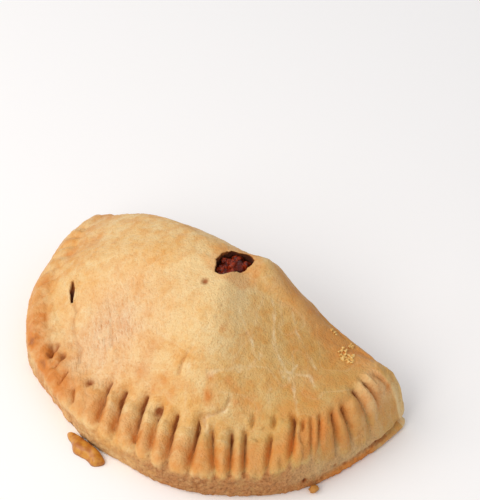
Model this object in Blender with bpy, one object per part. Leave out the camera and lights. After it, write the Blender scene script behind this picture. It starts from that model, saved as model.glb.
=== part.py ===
# A half-moon meat pie: one round of dough folded over its filling and sealed
# along the curved side with a fork. It lies on its flat underside.
# X runs along the fold, -Y points to the forked edge, +Z is up. Units are metres.

import math

import bmesh
import bpy
from mathutils import Vector, noise
from mathutils.bvhtree import BVHTree

mm = 0.001

# Plan of the pie: half ovals in front of and behind the line between its two corners,
# which lie at unequal distances from the middle and are rounded.
left_length = 70.6 * mm
right_length = 69.2 * mm
front_depth = 74.5 * mm
fold_bulge = 5.5 * mm
front_power = 2.26
fold_power = 2.3
corner_round = 5 * mm
plan_unevenness = 0.6 * mm
plan_bump_size = 16 * mm

# Crown of the dome, where the crust has burst open.
crown = Vector((5 * mm, -11 * mm))
crown_height = 46 * mm
dome_unevenness = 0.9 * mm
dome_bump_size = 21 * mm
even_share = 0.3             # of the way up from the band, before the bumps are full

# Ridge of the dome along the fold: it drops straight to a shelf on the right and
# curves down to the left corner.
shelf_start = 45 * mm
shelf_height = 24 * mm
left_ridge = 20 * mm
left_ridge_power = 2.2

# Rim in four directions: height of its top edge and how far that edge is rounded,
# width of the forked band and height of the shoulder behind it, fullness and root of
# the dome, how far the foot tucks in and the top edge leans in, depth of the seam
# between the two layers of dough, and how much the dome follows the ridge.
rim = {
    "front": dict(edge=10.4 * mm, round=2.8 * mm, band=14 * mm, shoulder=15 * mm, fullness=1.85,
                  root=1.0, tuck=1.4 * mm, lean=0.5 * mm, seam=0.5 * mm, follow=0.0),
    "right": dict(edge=19 * mm, round=5 * mm, band=10.2 * mm, shoulder=22.8 * mm, fullness=1.8,
                  root=1.0, tuck=1.8 * mm, lean=2 * mm, seam=2.2 * mm, follow=1.0),
    "left": dict(edge=17 * mm, round=5 * mm, band=7 * mm, shoulder=20.2 * mm, fullness=2.2,
                 root=1.0, tuck=3.5 * mm, lean=1.5 * mm, seam=0.5 * mm, follow=0.0),
    "fold": dict(edge=16 * mm, round=0.15 * mm, band=0.15 * mm, shoulder=18 * mm, fullness=2.2,
                 root=2.2, tuck=5 * mm, lean=0.0, seam=0.0, follow=1.0),
}
round_drop = 0.5             # of its rounding, by which the top edge drops at the outline
seam_height = 4.2 * mm
seam_highest = 0.8           # up the wall
seam_spread = 0.25
seam_off_tab = 0.3           # share of its depth away from the tab
seam_bump = 1 * mm
seam_bump_size = 5 * mm
dough_roughness = 0.35 * mm
dough_crumb_size = 2.3 * mm

# Where the rims blend, as shares of the distance to a corner and of the fold's bulge.
right_blend = 0.68
left_blend = 0.55
fold_blend = (-0.4, 0.8)
follow_blend = (0.2, 1)      # and where the dome comes to follow the ridge, on the right

# The right corner is a blunt tab that overlaps the dough beneath it, along the forked
# edge and round onto the fold.
tab_reach = 17 * mm
tab_reach_on_fold = 12 * mm
tab_step = 5 * mm
tab_overhang = 0.4 * mm

# Towards that corner the edge sags outwards, and the tab once more: by how much, over
# which stretch along the edge, how far in, and where it ends round on the fold.
side_slump = 8.3 * mm
side_stretch = (184 * mm, 204 * mm)
tab_slump = 3.6 * mm
tab_stretch = (216 * mm, 231 * mm)
slump_width = 9 * mm
slump_on_fold = (9 * mm, 2 * mm)

# Places along the forked edge, from the left corner, where it swells or is drawn in.
swells = [
    (8 * mm, 24 * mm, 2.2 * mm),
    (86 * mm, 34 * mm, -1.5 * mm),
    (90 * mm, 26 * mm, -2.5 * mm),
    (123 * mm, 30 * mm, -2.2 * mm),
    (153 * mm, 18 * mm, -0.5 * mm),
    (192 * mm, 24 * mm, 1 * mm),
]

# Presses of the four-tined fork: middle along the edge from the left corner,
# spacing of the tines and depth of the marks.
tines = 4
presses = [
    (19 * mm, 6.6 * mm, 1.3 * mm),
    (49.5 * mm, 8.2 * mm, 1.3 * mm),
    (88.1 * mm, 7.4 * mm, 1.3 * mm),
    (123.7 * mm, 7.5 * mm, 2.3 * mm),
    (153.6 * mm, 7.4 * mm, 2.6 * mm),
    (178.3 * mm, 5.7 * mm, 2 * mm),
    (196.4 * mm, 3.7 * mm, 1.4 * mm),
    (219.1 * mm, 7 * mm, 2.2 * mm),
]
mark_width = 2.6 * mm
mark_side = 0.25             # share of its depth that is left at a mark's two sides
mark_spread = 0.5            # how much deeper or shallower a mark is, by its wobble
mark_stray = 2.4 * mm        # how far its inner end strays from the band's, by its wobble
mark_wobble_size = 2.7 * mm
mark_start = (0.3 * mm, 6 * mm)       # in from the edge, where it slopes to its depth
mark_end = (-2.2 * mm, 1.2 * mm)      # about its inner end, where it rises steeply
mark_crown = 0.7 * mm        # rise of the dough squeezed up between two marks

# The fork turns less than the edge does, and at the two corners its marks swing
# towards the crown.
turn_rate = math.radians(0.42) / mm
turn_middle = 160 * mm
turn_limit = math.radians(32)
turn_start = 45 * mm
left_swing = (22 * mm, 4 * mm)
right_swing = (18 * mm, 3 * mm)

# The tear in the crown, by its distance in each direction from there, and its raised lip.
tear_outline = [
    (-180, 6 * mm),
    (-128, 6.2 * mm),
    (-106, 7.4 * mm),
    (-83, 8.3 * mm),
    (-60, 6.2 * mm),
    (-20, 4.1 * mm),
    (20, 4.4 * mm),
    (50, 6.6 * mm),
    (75, 6.6 * mm),
    (110, 6 * mm),
    (180, 6 * mm),
]
lip_place = Vector((13 * mm, -2 * mm))
lip_radius = 11 * mm
lip_rise = 6 * mm

# Vent cut by a knife point near the left end.
vent_place = Vector((-43.1 * mm, -38.6 * mm))
vent_length = 8 * mm
vent_width = 1.5 * mm
vent_depth = 3.2 * mm
vent_clear = 6 * mm          # height of the cutting blade above the crust
vent_turn = math.radians(-50)

# Dough around the filling, and the gap that keeps the two solids apart.
crust_thick = 5 * mm
floor_thick = 4.2 * mm
corner_dough = 13 * mm       # solid dough at the two corners
sealed_band = 17 * mm        # and behind the forked edge
fold_wall = 6 * mm
hollow_line = -7 * mm        # where the hollow is longest
filling_gap = 0.35 * mm
filling_sink = 3.0 * mm      # depth of the filling below the crown, in the tear
filling_slope = -0.35        # where its slope would start, outside the tear's edge

# Egg wash and dough that ran under the edge and baked on.
drip_place = 111 * mm        # along the edge from the left corner
drip_length = 19 * mm
drip_width = 5.2 * mm
drip_height = 2.8 * mm
drip_gap = 0.5 * mm
drip_taper = 0.2             # wider and higher at one end than in the middle, by this share
drip_wobble = 0.25
drip_wobble_size = 4 * mm

# Fineness of the meshes, and steps up the roof of the hollow.
roof_steps = (0.15, 0.35, 0.65, 1.0)
back_columns = 40
back_crowding = 0.6          # how much closer its columns stand at the two corners
arc_samples = 1440
halvings = 40
drip_columns = 24
drip_rings = 12
blade_sides = 12
sharp_angle = math.radians(50)


def smooth_step(low, high, value):
    t = min(max((value - low) / (high - low), 0.0), 1.0)
    return t * t * (3 - 2 * t)


def signed_power(value, power):
    return math.copysign(abs(value) ** power, value)


def uneven(x, y, size, seed):
    """Smooth noise between about -1 and 1, with bumps of the given size."""
    return noise.noise(Vector((x / size, y / size, seed * 7.3)))


def plan_point(turn):
    """Point of the pie's outline; 0 is the right corner, pi the left one."""
    c, s = math.cos(turn), math.sin(turn)
    power, depth = (front_power, front_depth) if s < 0 else (fold_power, fold_bulge)
    length = (left_length if c < 0 else right_length) - corner_round
    depth -= corner_round
    point = Vector((length * signed_power(c, 2 / power), depth * signed_power(s, 2 / power)))
    slope = 2 - 2 / power
    normal = Vector((signed_power(c, slope) / length, signed_power(s, slope) / depth))
    return point + normal.normalized() * corner_round


def walk(start, end):
    """Outline between two turns as points with their distance walked."""
    points, lengths = [], []
    for i in range(arc_samples + 1):
        points.append(plan_point(start + (end - start) * i / arc_samples))
        step = (points[-1] - points[-2]).length if i else 0.0
        lengths.append(step + (lengths[-1] if lengths else 0.0))
    return points, lengths


front_points, front_lengths = walk(math.pi, 2 * math.pi)
back_points, back_lengths = walk(0.0, math.pi)
edge_length = front_lengths[-1]
back_length = back_lengths[-1]


def along(points, lengths, distance):
    """Point and outward direction at a distance along a walked outline."""
    i = 1
    while i < len(lengths) - 1 and lengths[i] < distance:
        i += 1
    span = lengths[i] - lengths[i - 1]
    t = (distance - lengths[i - 1]) / span
    tangent = (points[i] - points[i - 1]).normalized()
    return points[i - 1].lerp(points[i], t), Vector((tangent.y, -tangent.x))


def hollow_distance(away, gap):
    """Distance from the crown to the hollow's wall, or to the filling's side."""
    near, far = 0.0, left_length + right_length
    for _ in range(halvings):
        reach = (near + far) / 2
        x, y = crown + away * reach - Vector((0, hollow_line))
        length = (left_length if x < 0 else right_length) - corner_dough - gap
        power, depth = fold_power, fold_bulge - fold_wall - hollow_line - gap
        if y < 0:
            power, depth = front_power, front_depth - sealed_band + hollow_line - gap
        inside = abs(x / length) ** power + abs(y / depth) ** power < 1
        near, far = (reach, far) if inside else (near, reach)
    return near


def rim_value(name, point):
    """A rim size at an outline point, blended between the four directions."""
    right = smooth_step(right_blend, 1, point.x / right_length)
    left = smooth_step(left_blend, 1, -point.x / left_length)
    back = smooth_step(*fold_blend, point.y / fold_bulge) * (1 - right) * (1 - left)
    front = 1 - right - left - back
    return (front * rim["front"][name] + right * rim["right"][name]
            + left * rim["left"][name] + back * rim["fold"][name])


def ridge_height(x):
    """Height of the dome's ridge at a place along the fold."""
    if x > crown.x:
        share = min((x - crown.x) / (shelf_start - crown.x), 1.0)
        return crown_height + (shelf_height - crown_height) * share
    share = min((crown.x - x) / (crown.x + left_length), 1.0)
    return crown_height + (left_ridge - crown_height) * share ** left_ridge_power


def fork_marks():
    """Every tine's mark as (distance along the edge, depth, stray of its inner end)."""
    marks = []
    for middle, spacing, depth in presses:
        for tine in range(tines):
            place = middle + (tine - (tines - 1) / 2) * spacing
            wobble = uneven(place, 2 * mark_wobble_size, mark_wobble_size, 5)
            marks.append((place, depth * (1 + mark_spread * wobble), mark_stray * wobble))
    return marks


class Column:
    """One line of the mesh, from the foot over the rim to the crown."""

    def __init__(self, distance, front, press=0.0, stray=0.0):
        points, lengths = (front_points, front_lengths) if front else (back_points, back_lengths)
        edge_point, self.outward = along(points, lengths, distance)
        swell = plan_unevenness * uneven(edge_point.x, edge_point.y, plan_bump_size, 1)
        tab = smooth_step(tab_reach_on_fold, 0, distance)
        slump = (side_slump + tab_slump) * smooth_step(*slump_on_fold, distance)
        if front:
            tab = smooth_step(0, tab_step, distance - edge_length + tab_reach)
            slump = side_slump * smooth_step(*side_stretch, distance)
            slump += tab_slump * smooth_step(*tab_stretch, distance)
            for middle, width, amount in swells:
                swell += amount * smooth_step(width, 0, abs(distance - middle))
        self.edge_point = edge_point + self.outward * (swell + tab_overhang * tab)
        self.press = press
        for name in rim["front"]:
            setattr(self, name, rim_value(name, edge_point))
        ridge_share = smooth_step(*follow_blend, edge_point.x / right_length)
        self.follow = max(self.follow, ridge_share)
        self.seam *= seam_off_tab + (1 - seam_off_tab) * tab
        self.slump = slump
        self.top = self.edge - self.round * round_drop - slump
        seam = seam_height + seam_bump * uneven(edge_point.x, edge_point.y, seam_bump_size, 8)
        self.seam_level = min(seam / self.top, seam_highest)
        self.reach = self.band + stray
        self.rim_point = self.edge_point - self.outward * self.lean
        self.inward = self.fork_direction(distance) if front else self.to_crown(self.rim_point)
        self.band_point = self.rim_point + self.inward * self.band
        self.run = (crown - self.band_point).length
        self.tear_radius = self.tear_edge()

    def to_crown(self, point):
        return (crown - point).normalized()

    def fork_direction(self, distance):
        """Direction of the marks: the edge's normal turned towards the fork's."""
        turn = max(min((turn_middle - distance) * turn_rate, turn_limit), -turn_limit)
        turn *= smooth_step(0, turn_start, distance)
        c, s = math.cos(turn), math.sin(turn)
        normal = -self.outward
        turned = Vector((normal.x * c - normal.y * s, normal.x * s + normal.y * c))
        swing = max(smooth_step(*left_swing, distance),
                    smooth_step(*right_swing, edge_length - distance))
        return turned.lerp(self.to_crown(self.rim_point), swing).normalized()

    def tear_edge(self):
        away = -self.to_crown(self.band_point)
        turn = math.degrees(math.atan2(away.y, away.x))
        i = 1
        while tear_outline[i][0] < turn:
            i += 1
        (start, near), (end, far) = tear_outline[i - 1], tear_outline[i]
        return near + (far - near) * (turn - start) / (end - start)

    def mark(self, inwards):
        """How far the fork pushed the dough down at a distance in from the edge."""
        into_mark = smooth_step(*mark_start, inwards)
        past_mark = smooth_step(*mark_end, inwards - self.reach)
        return self.press * into_mark * (1 - past_mark)

    def band_height(self, inwards):
        """Height of the forked band at a distance in from its edge."""
        height = self.edge + (self.shoulder - self.edge) * inwards / self.band
        height -= self.mark(inwards)
        if inwards < self.round:
            height -= self.round * round_drop * (1 - inwards / self.round) ** 2
        if inwards < slump_width:
            height -= self.slump * (1 - inwards / slump_width) ** 2
        return height

    def swell_height(self, place, part):
        """Height of the smooth dome over a place; part is 0 at the band, 1 at the crown."""
        top = crown_height + (ridge_height(place.x) - crown_height) * self.follow
        full = max(1 - (1 - part) ** self.fullness, 0.0) ** (1 / self.root)
        return self.shoulder + (top - self.shoulder) * full

    def dome(self, part):
        """Point on the dome; part runs from 0 at the band to 1 at the crown."""
        place = self.band_point.lerp(crown, part)
        bumps = uneven(place.x, place.y, dome_bump_size, 2) * smooth_step(0, even_share, part)
        height = self.swell_height(place, part) + dome_unevenness * bumps
        height += lip_rise * smooth_step(lip_radius, 0, (place - lip_place).length)
        return place, height - self.mark(self.band + part * self.run)

    def outside(self, level):
        """Point on the outer skin at a named level."""
        kind, value = level
        if kind == "under":
            foot = self.edge_point - self.outward * self.tuck
            return foot.lerp(crown, 1 - value), 0.0
        if kind == "wall":
            height = self.top * value
            out = -self.seam * smooth_step(seam_spread, 0, abs(value - self.seam_level))
            out -= self.tuck * (1 - math.sqrt(1 - (1 - value) ** 2)) + self.lean * value ** 2
            place = self.edge_point + self.outward * out
            rough = dough_roughness * uneven(place.x, place.y + height, dough_crumb_size, 3)
            return place + self.outward * rough, height
        if kind == "band":
            inwards = self.band * value
            return self.rim_point + self.inward * inwards, self.band_height(inwards)
        part = value ** self.root * (1 - self.tear_radius / self.run)
        return self.dome(part)

    def inside(self, level, gap):
        """Point on the wall of the hollow, or with a gap, on the filling."""
        kind, value = level
        away = -self.to_crown(self.band_point)
        corner = crown + away * hollow_distance(away, gap)
        lip = crown + away * (self.tear_radius - 2 * gap)
        floor = floor_thick + gap
        if kind == "side":
            return corner, floor + (self.roof(corner) - gap - floor) * value
        if kind == "floor":
            return corner.lerp(crown, 1 - value), floor
        if kind == "well":
            mound = crown_height - filling_sink
            low = self.roof(lip) - gap
            rise = smooth_step(filling_slope, 1, value)
            return lip.lerp(crown, value), low + (mound - low) * rise
        place = corner.lerp(lip, value)
        return place, self.roof(place) - gap

    def roof(self, place):
        """Height of the hollow's roof over a place below the dome."""
        part = max(1 - (place - crown).length / self.run, 0.0)
        return self.swell_height(place, part) - crust_thick


def make_columns():
    """Columns in order round the pie, four to each fork mark."""
    marks = fork_marks()
    columns = []
    previous = 0.0
    for place, depth, stray in marks:
        columns.append(Column((previous + place - mark_width / 2) / 2, True, -mark_crown, stray))
        columns.append(Column(place - mark_width / 2, True, mark_side * depth, stray))
        columns.append(Column(place, True, depth, stray))
        columns.append(Column(place + mark_width / 2, True, mark_side * depth, stray))
        previous = place + mark_width / 2
    columns.append(Column((previous + edge_length) / 2, True))
    for i in range(back_columns):
        share = (i + 0.5) / back_columns
        share -= back_crowding * math.sin(2 * math.pi * share) / (2 * math.pi)
        columns.append(Column(back_length * share, False))
    return columns


def finish_mesh(name, bm, material):
    """Object from a finished shape, smooth but for its sharp edges."""
    bmesh.ops.recalc_face_normals(bm, faces=bm.faces)
    mesh = bpy.data.meshes.new(name)
    bm.to_mesh(mesh)
    bm.free()
    mesh.materials.append(material)
    mesh.shade_smooth()
    mesh.set_sharp_from_angle(angle=sharp_angle)
    return bpy.data.objects.new(name, mesh)


def grid_object(name, columns, levels, bottom, top, material):
    """Closed skin through columns x levels, shaped from a UV sphere."""
    rings = len(levels)
    count = len(columns)
    bm = bmesh.new()
    bmesh.ops.create_uvsphere(bm, u_segments=count, v_segments=rings + 1, radius=1.0)
    for vert in bm.verts:
        x, y, z = vert.co
        ring = round(math.acos(max(min(-z, 1.0), -1.0)) / math.pi * (rings + 1)) - 1
        if ring < 0:
            vert.co = bottom
        elif ring >= rings:
            vert.co = top
        else:
            column = round(math.atan2(y, x) / (2 * math.pi) * count) % count
            vert.co = levels[ring](columns[column])
    bmesh.ops.triangulate(bm, faces=bm.faces)
    return finish_mesh(name, bm, material)


def raised(pair):
    place, height = pair
    return Vector((place.x, place.y, height))


def outer_level(kind, value):
    return lambda column: raised(column.outside((kind, value)))


def inner_level(kind, value, gap=0.0):
    return lambda column: raised(column.inside((kind, value), gap))


def make_crust(columns, material):
    """Dough shell: underside, wall, forked band and dome to the tear, then the hollow."""
    levels = [outer_level("under", v) for v in (0.5, 1.0)]
    levels += [outer_level("wall", v) for v in (0.08, 0.22, 0.4, 0.58, 0.8, 1.0)]
    levels += [outer_level("band", v) for v in (0.07, 0.18, 0.36, 0.56, 0.74, 0.88, 1.0)]
    levels += [outer_level("dome", v) for v in (0.06, 0.16, 0.34, 0.56, 0.78, 0.92, 1.0)]
    levels += [inner_level("roof", v) for v in reversed(roof_steps)]
    levels += [inner_level("side", v) for v in (1.0, 0.0)]
    levels += [inner_level("floor", 0.5)]
    bottom = Vector((crown.x, crown.y, 0))
    top = Vector((crown.x, crown.y, floor_thick))
    return grid_object("crust", columns, levels, bottom, top, material)


def make_filling(columns, material):
    """Meat filling that runs through the pie and wells up in the tear."""
    gap = filling_gap
    levels = [inner_level("side", v, gap) for v in (0.0, 1.0)]
    levels += [inner_level("roof", v, gap) for v in roof_steps]
    levels += [inner_level("well", v, gap) for v in (0.0, 0.5)]
    bottom = Vector((crown.x, crown.y, floor_thick + gap))
    top = Vector((crown.x, crown.y, crown_height - filling_sink))
    return grid_object("meat_filling", columns, levels, bottom, top, material)


def make_drip(material):
    """Flat-bottomed bead of baked egg wash that hugs the foot of the forked edge."""
    bm = bmesh.new()
    bmesh.ops.create_uvsphere(bm, u_segments=drip_columns, v_segments=drip_rings, radius=1.0)
    for vert in bm.verts:
        x, y, z = vert.co
        distance = drip_place + x * drip_length / 2
        edge = Column(distance, True)
        wobble = drip_wobble * uneven(distance, 0, drip_wobble_size, 4)
        width = drip_width * (1 + drip_taper * x + wobble)
        place = edge.edge_point + edge.outward * (drip_gap + width * (1 + y) / 2)
        vert.co = (place.x, place.y, drip_height * max(z, 0.0) * (1 + drip_taper * x))
    bmesh.ops.triangulate(bm, faces=bm.faces)
    return finish_mesh("baked_drip", bm, material)


def cut_vent(crust, material):
    """Knife cut in the crust: a thin lens pressed straight down into the dome."""
    dome = BVHTree.FromPolygons([v.co for v in crust.data.vertices],
                                [p.vertices for p in crust.data.polygons])
    above = Vector((vent_place.x, vent_place.y, crown_height * 2))
    surface = dome.ray_cast(above, Vector((0, 0, -1)))[0]
    bm = bmesh.new()
    height = vent_depth + vent_clear
    bmesh.ops.create_cone(bm, cap_ends=True, segments=blade_sides,
                          radius1=0.25, radius2=0.5, depth=1.0)
    bmesh.ops.scale(bm, vec=(vent_length, vent_width, height), verts=bm.verts)
    blade = finish_mesh("vent_cutter", bm, material)
    blade.rotation_euler.z = vent_turn
    blade.location = surface + Vector((0, 0, height / 2 - vent_depth))
    blade.hide_render = True
    blade.display_type = "WIRE"
    cut = crust.modifiers.new("vent", "BOOLEAN")
    cut.operation = "DIFFERENCE"
    cut.solver = "EXACT"
    cut.object = blade
    return blade


def make_material(name, color, roughness):
    material = bpy.data.materials.new(name)
    material.use_nodes = True
    shader = material.node_tree.nodes["Principled BSDF"]
    shader.inputs["Base Color"].default_value = color
    shader.inputs["Roughness"].default_value = roughness
    return material


def middle_of_foot(items):
    """Middle of the bounding box of all items, at the height of the underside."""
    points = [vert.co for item in items for vert in item.data.vertices]
    low = Vector(min(p[i] for p in points) for i in range(3))
    high = Vector(max(p[i] for p in points) for i in range(3))
    return Vector(((low.x + high.x) / 2, (low.y + high.y) / 2, low.z))


def main():
    for item in list(bpy.data.objects):
        bpy.data.objects.remove(item, do_unlink=True)
    pie = bpy.data.collections.new("meat_pie")
    cutters = bpy.data.collections.new("meat_pie_cutters")
    for collection in (pie, cutters):
        bpy.context.scene.collection.children.link(collection)

    dough = make_material("baked_dough", (0.69, 0.38, 0.12, 1), 0.5)
    columns = make_columns()
    crust = make_crust(columns, dough)
    filling = make_filling(columns, make_material("meat", (0.10, 0.03, 0.012, 1), 0.35))
    drip = make_drip(make_material("baked_egg_wash", (0.62, 0.30, 0.06, 1), 0.4))
    blade = cut_vent(crust, dough)

    # The empty carries the whole pie, with its foot's middle on the origin.
    frame = bpy.data.objects.new("meat_pie_frame", None)
    frame.location = -middle_of_foot([crust, filling, drip])
    pie.objects.link(frame)
    cutters.objects.link(blade)
    for item in (crust, filling, drip):
        pie.objects.link(item)
    for item in (crust, filling, drip, blade):
        item.parent = frame
    print(len(columns), "columns,", len(crust.data.polygons), "faces in the crust")


main()
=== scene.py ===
import bpy
import bmesh
import math
import numpy as np
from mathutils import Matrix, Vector, noise


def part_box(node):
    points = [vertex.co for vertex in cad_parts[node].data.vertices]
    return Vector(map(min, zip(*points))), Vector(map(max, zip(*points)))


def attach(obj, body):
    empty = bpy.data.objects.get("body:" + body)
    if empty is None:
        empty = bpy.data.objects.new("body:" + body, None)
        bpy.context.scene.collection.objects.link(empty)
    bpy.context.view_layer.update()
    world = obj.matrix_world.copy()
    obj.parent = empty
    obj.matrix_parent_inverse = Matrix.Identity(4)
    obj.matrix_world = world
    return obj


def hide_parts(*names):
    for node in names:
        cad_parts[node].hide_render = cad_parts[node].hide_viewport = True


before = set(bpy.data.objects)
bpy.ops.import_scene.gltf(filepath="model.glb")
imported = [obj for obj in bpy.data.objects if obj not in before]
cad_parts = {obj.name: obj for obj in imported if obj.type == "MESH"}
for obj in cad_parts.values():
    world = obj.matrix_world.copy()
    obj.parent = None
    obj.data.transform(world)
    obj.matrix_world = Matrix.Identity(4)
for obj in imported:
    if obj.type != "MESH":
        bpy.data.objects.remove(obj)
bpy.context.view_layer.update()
print("frame loaded with", sorted(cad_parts))

mm = 0.001   # every size below is in millimetres, in the pie's own frame until it is placed


def smoothStep(low, high, value):
    t = np.clip((np.asarray(value, float) - low) / (high - low), 0, 1)
    return t * t * (3 - 2 * t)


def signedPower(value, power):
    return np.sign(value) * np.abs(value) ** power


def unevenness(x, y, size, seed):
    # smooth noise between about -1 and 1 with bumps of the given size; each seed is another layer of it
    layer = seed * 7.3
    points = zip((x / size).ravel(), (y / size).ravel())
    return np.array([noise.noise(Vector((a, b, layer))) for a, b in points]).reshape(x.shape)


def unevenAt(spots, size, seed):
    return unevenness(spots[:, 0], spots[:, 1], size, seed)


def along2d(distance, walked, values):
    # places or directions at the given distances along a walked line
    return np.stack([np.interp(distance, walked, values[:, i]) for i in (0, 1)], -1)


def turned(vectors, angle):
    c, s = np.cos(angle), np.sin(angle)
    return np.stack([vectors[:, 0] * c - vectors[:, 1] * s, vectors[:, 0] * s + vectors[:, 1] * c], 1)


def unit(vectors):
    return vectors / np.linalg.norm(vectors, axis=-1, keepdims=True)


def hexColor(code):
    # sRGB hex to the linear colour that the shaders take
    parts = [int(code[i:i + 2], 16) / 255 for i in (1, 3, 5)]
    return tuple(p / 12.92 if p <= 0.04045 else ((p + 0.055) / 1.055) ** 2.4 for p in parts) + (1.0,)


def wire(tree, socket, value):
    # a socket's value is a plain value or another node's output
    if isinstance(value, Field):
        tree.links.new(value.socket, socket)
    else:
        socket.default_value = value


def addNode(tree, kind, settings=None, sockets=None):
    node = tree.nodes.new(kind)
    for name, value in (settings or {}).items():
        setattr(node, name, value)
    for name, value in (sockets or {}).items():
        wire(tree, node.inputs[name], value)
    return node


def field(tree, kind, settings=None, sockets=None, output=0):
    return Field(tree, addNode(tree, kind, settings, sockets).outputs[output])


class Field:
    # a node's output; sums and products of fields become math nodes
    def __init__(self, tree, socket):
        self.tree = tree
        self.socket = socket

    def math(self, operation, other=0.0, clamp=False, swapped=False):
        pair = {0: other, 1: self} if swapped else {0: self, 1: other}
        return field(self.tree, "ShaderNodeMath", {"operation": operation, "use_clamp": clamp}, pair)

    def __add__(self, other):
        return self.math("ADD", other)

    def __sub__(self, other):
        return self.math("SUBTRACT", other)

    def __rsub__(self, other):
        return self.math("SUBTRACT", other, swapped=True)

    def __mul__(self, other):
        return self.math("MULTIPLY", other)

    def __truediv__(self, other):
        return self.math("DIVIDE", other)

    def __rtruediv__(self, other):
        return self.math("DIVIDE", other, swapped=True)

    def clamped(self):
        return self.math("MULTIPLY", 1.0, clamp=True)

    def ramp(self, low, high, outLow=0.0, outHigh=1.0, kind="SMOOTHSTEP"):
        return field(self.tree, "ShaderNodeMapRange", {"interpolation_type": kind},
                     {"Value": self, "From Min": low, "From Max": high,
                      "To Min": outLow, "To Max": outHigh})


def noiseField(vector, size, detail=3.0, roughness=0.5, seed=0.0, distortion=0.0, drift=(1, 0.7, 1.3)):
    # noise with features of about the given size in millimetres, moved on for each seed
    shifted = field(vector.tree, "ShaderNodeVectorMath", {"operation": "ADD"},
                    {0: vector, 1: tuple(seed * part for part in drift)})
    return field(vector.tree, "ShaderNodeTexNoise", {"noise_dimensions": "3D"},
                 {"Vector": shifted, "Scale": 1000 / size, "Detail": detail,
                  "Roughness": roughness, "Distortion": distortion})


def addObject(name, data):
    added = bpy.data.objects.new(name, data)
    bpy.context.scene.collection.objects.link(added)
    return added


def meshObject(name, points, faces, material):
    mesh = bpy.data.meshes.new(name)
    mesh.from_pydata([tuple(p) for p in np.asarray(points) * mm], [], faces)
    mesh.update()
    if material:
        mesh.materials.append(material)
    return addObject(name, mesh)


def setAttribute(piece, name, values):
    layer = piece.data.attributes.get(name) or piece.data.attributes.new(name, "FLOAT", "POINT")
    layer.data.foreach_set("value", np.asarray(values, np.float32))


def getPoints(piece):
    flat = np.empty(len(piece.data.vertices) * 3, np.float32)
    piece.data.vertices.foreach_get("co", flat)
    return flat.reshape(-1, 3).astype(float)


def setPoints(piece, points):
    piece.data.vertices.foreach_set("co", np.asarray(points, np.float32).ravel())
    piece.data.update()


def faceOut(piece):
    bm = bmesh.new()
    bm.from_mesh(piece.data)
    bmesh.ops.recalc_face_normals(bm, faces=bm.faces)
    bm.to_mesh(piece.data)
    bm.free()


pastry = {
    "leftLength": 70.6, "rightLength": 69.2,       # from the middle of the fold to its two corners
    "frontDepth": 74.5, "foldBulge": 5.5,
    "frontPower": 2.26, "foldPower": 2.3, "cornerRound": 5,
    "planUnevenness": 0.6, "planBump": 16,
    "crown": (5, -11), "crownHeight": 46,
    "domeUnevenness": 0.9, "domeBump": 21, "evenShare": 0.3,
    "shelfStart": 45, "shelfHeight": 24,           # the ridge runs straight down to a shelf on the right
    "leftRidge": 20, "leftRidgePower": 2.2,
    "roundDrop": 0.5, "seamHeight": 3.7, "seamHighest": 0.8, "seamSpread": 0.25, "seamBump": 5,
    "sideSlump": 8.3, "sideReach": (184, 204), "tabSlump": 3.6, "tabSlumpReach": (216, 231),
    "slumpOnFold": (9, 2), "slumpWidth": 9,        # towards the right corner the edge sags this far
    "rightBlend": 0.68, "leftBlend": 0.55, "foldBlend": (-0.4, 0.8), "followBlend": (0.2, 1),
    "tabReach": 17, "tabReachOnFold": 12, "tabStep": 5, "tabOverhang": 0.4,
    "swells": [(8, 24, 2.2), (86, 34, -1.5), (90, 26, -2.5), (123, 30, -2.2), (153, 18, -0.5),
               (192, 24, 1.0)],                    # place along the edge, width, amount
    "tear": [(-180, 6.0), (-128, 6.4), (-106, 8.1), (-83, 7.1), (-60, 4.5), (-40, 3.5), (-20, 3.6), (20, 4.4),
             (50, 6.6), (75, 6.6), (110, 6.0), (180, 6.0)],   # turn from the crown in degrees, distance
    "tearJag": 0.35, "tearWaves": 4,
    "lipPlace": (13, -2), "lipRadius": 11, "lipRise": 6,
    "crustThick": 5, "floorThick": 4.2, "cornerDough": 13, "sealedBand": 17, "foldWall": 6,
    "hollowLine": -7,
    "walkPoints": 1441, "innerStep": 4,            # the hollow takes one line in so many
    "frontColumns": 444, "backColumns": 276,       # lines of the mesh round the pie
}

# Rim in four directions: height and rounding of its top edge, width of the forked band,
# shoulder behind it, fullness and root of the dome, tuck of the foot, lean of the top edge,
# seam between the two layers, and how much the dome follows the ridge.
rims = {
    "front": dict(edge=10.4, round=2.8, band=14, shoulder=15, fullness=1.85, root=1.0,
                  tuck=1.4, lean=0.5, seam=0.5, follow=0),
    "right": dict(edge=19, round=5, band=10.2, shoulder=22.8, fullness=1.8, root=1.0,
                  tuck=1.8, lean=2, seam=2.2, follow=1),
    "left": dict(edge=17, round=5, band=7, shoulder=20.2, fullness=2.2, root=1.0,
                 tuck=3.5, lean=1.5, seam=0.5, follow=0),
    "fold": dict(edge=16, round=0.15, band=0.15, shoulder=18, fullness=2.2, root=2.2,
                 tuck=5, lean=0, seam=0, follow=1),
}

# How the fork's direction turns along the edge, and where its marks swing to the crown.
fork = {"turnRate": math.radians(0.42), "turnMiddle": 160, "turnLimit": math.radians(32),
        "turnStart": 45, "leftSwing": (22, 4), "rightSwing": (18, 3)}

crown = np.array(pastry["crown"], float)


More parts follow.
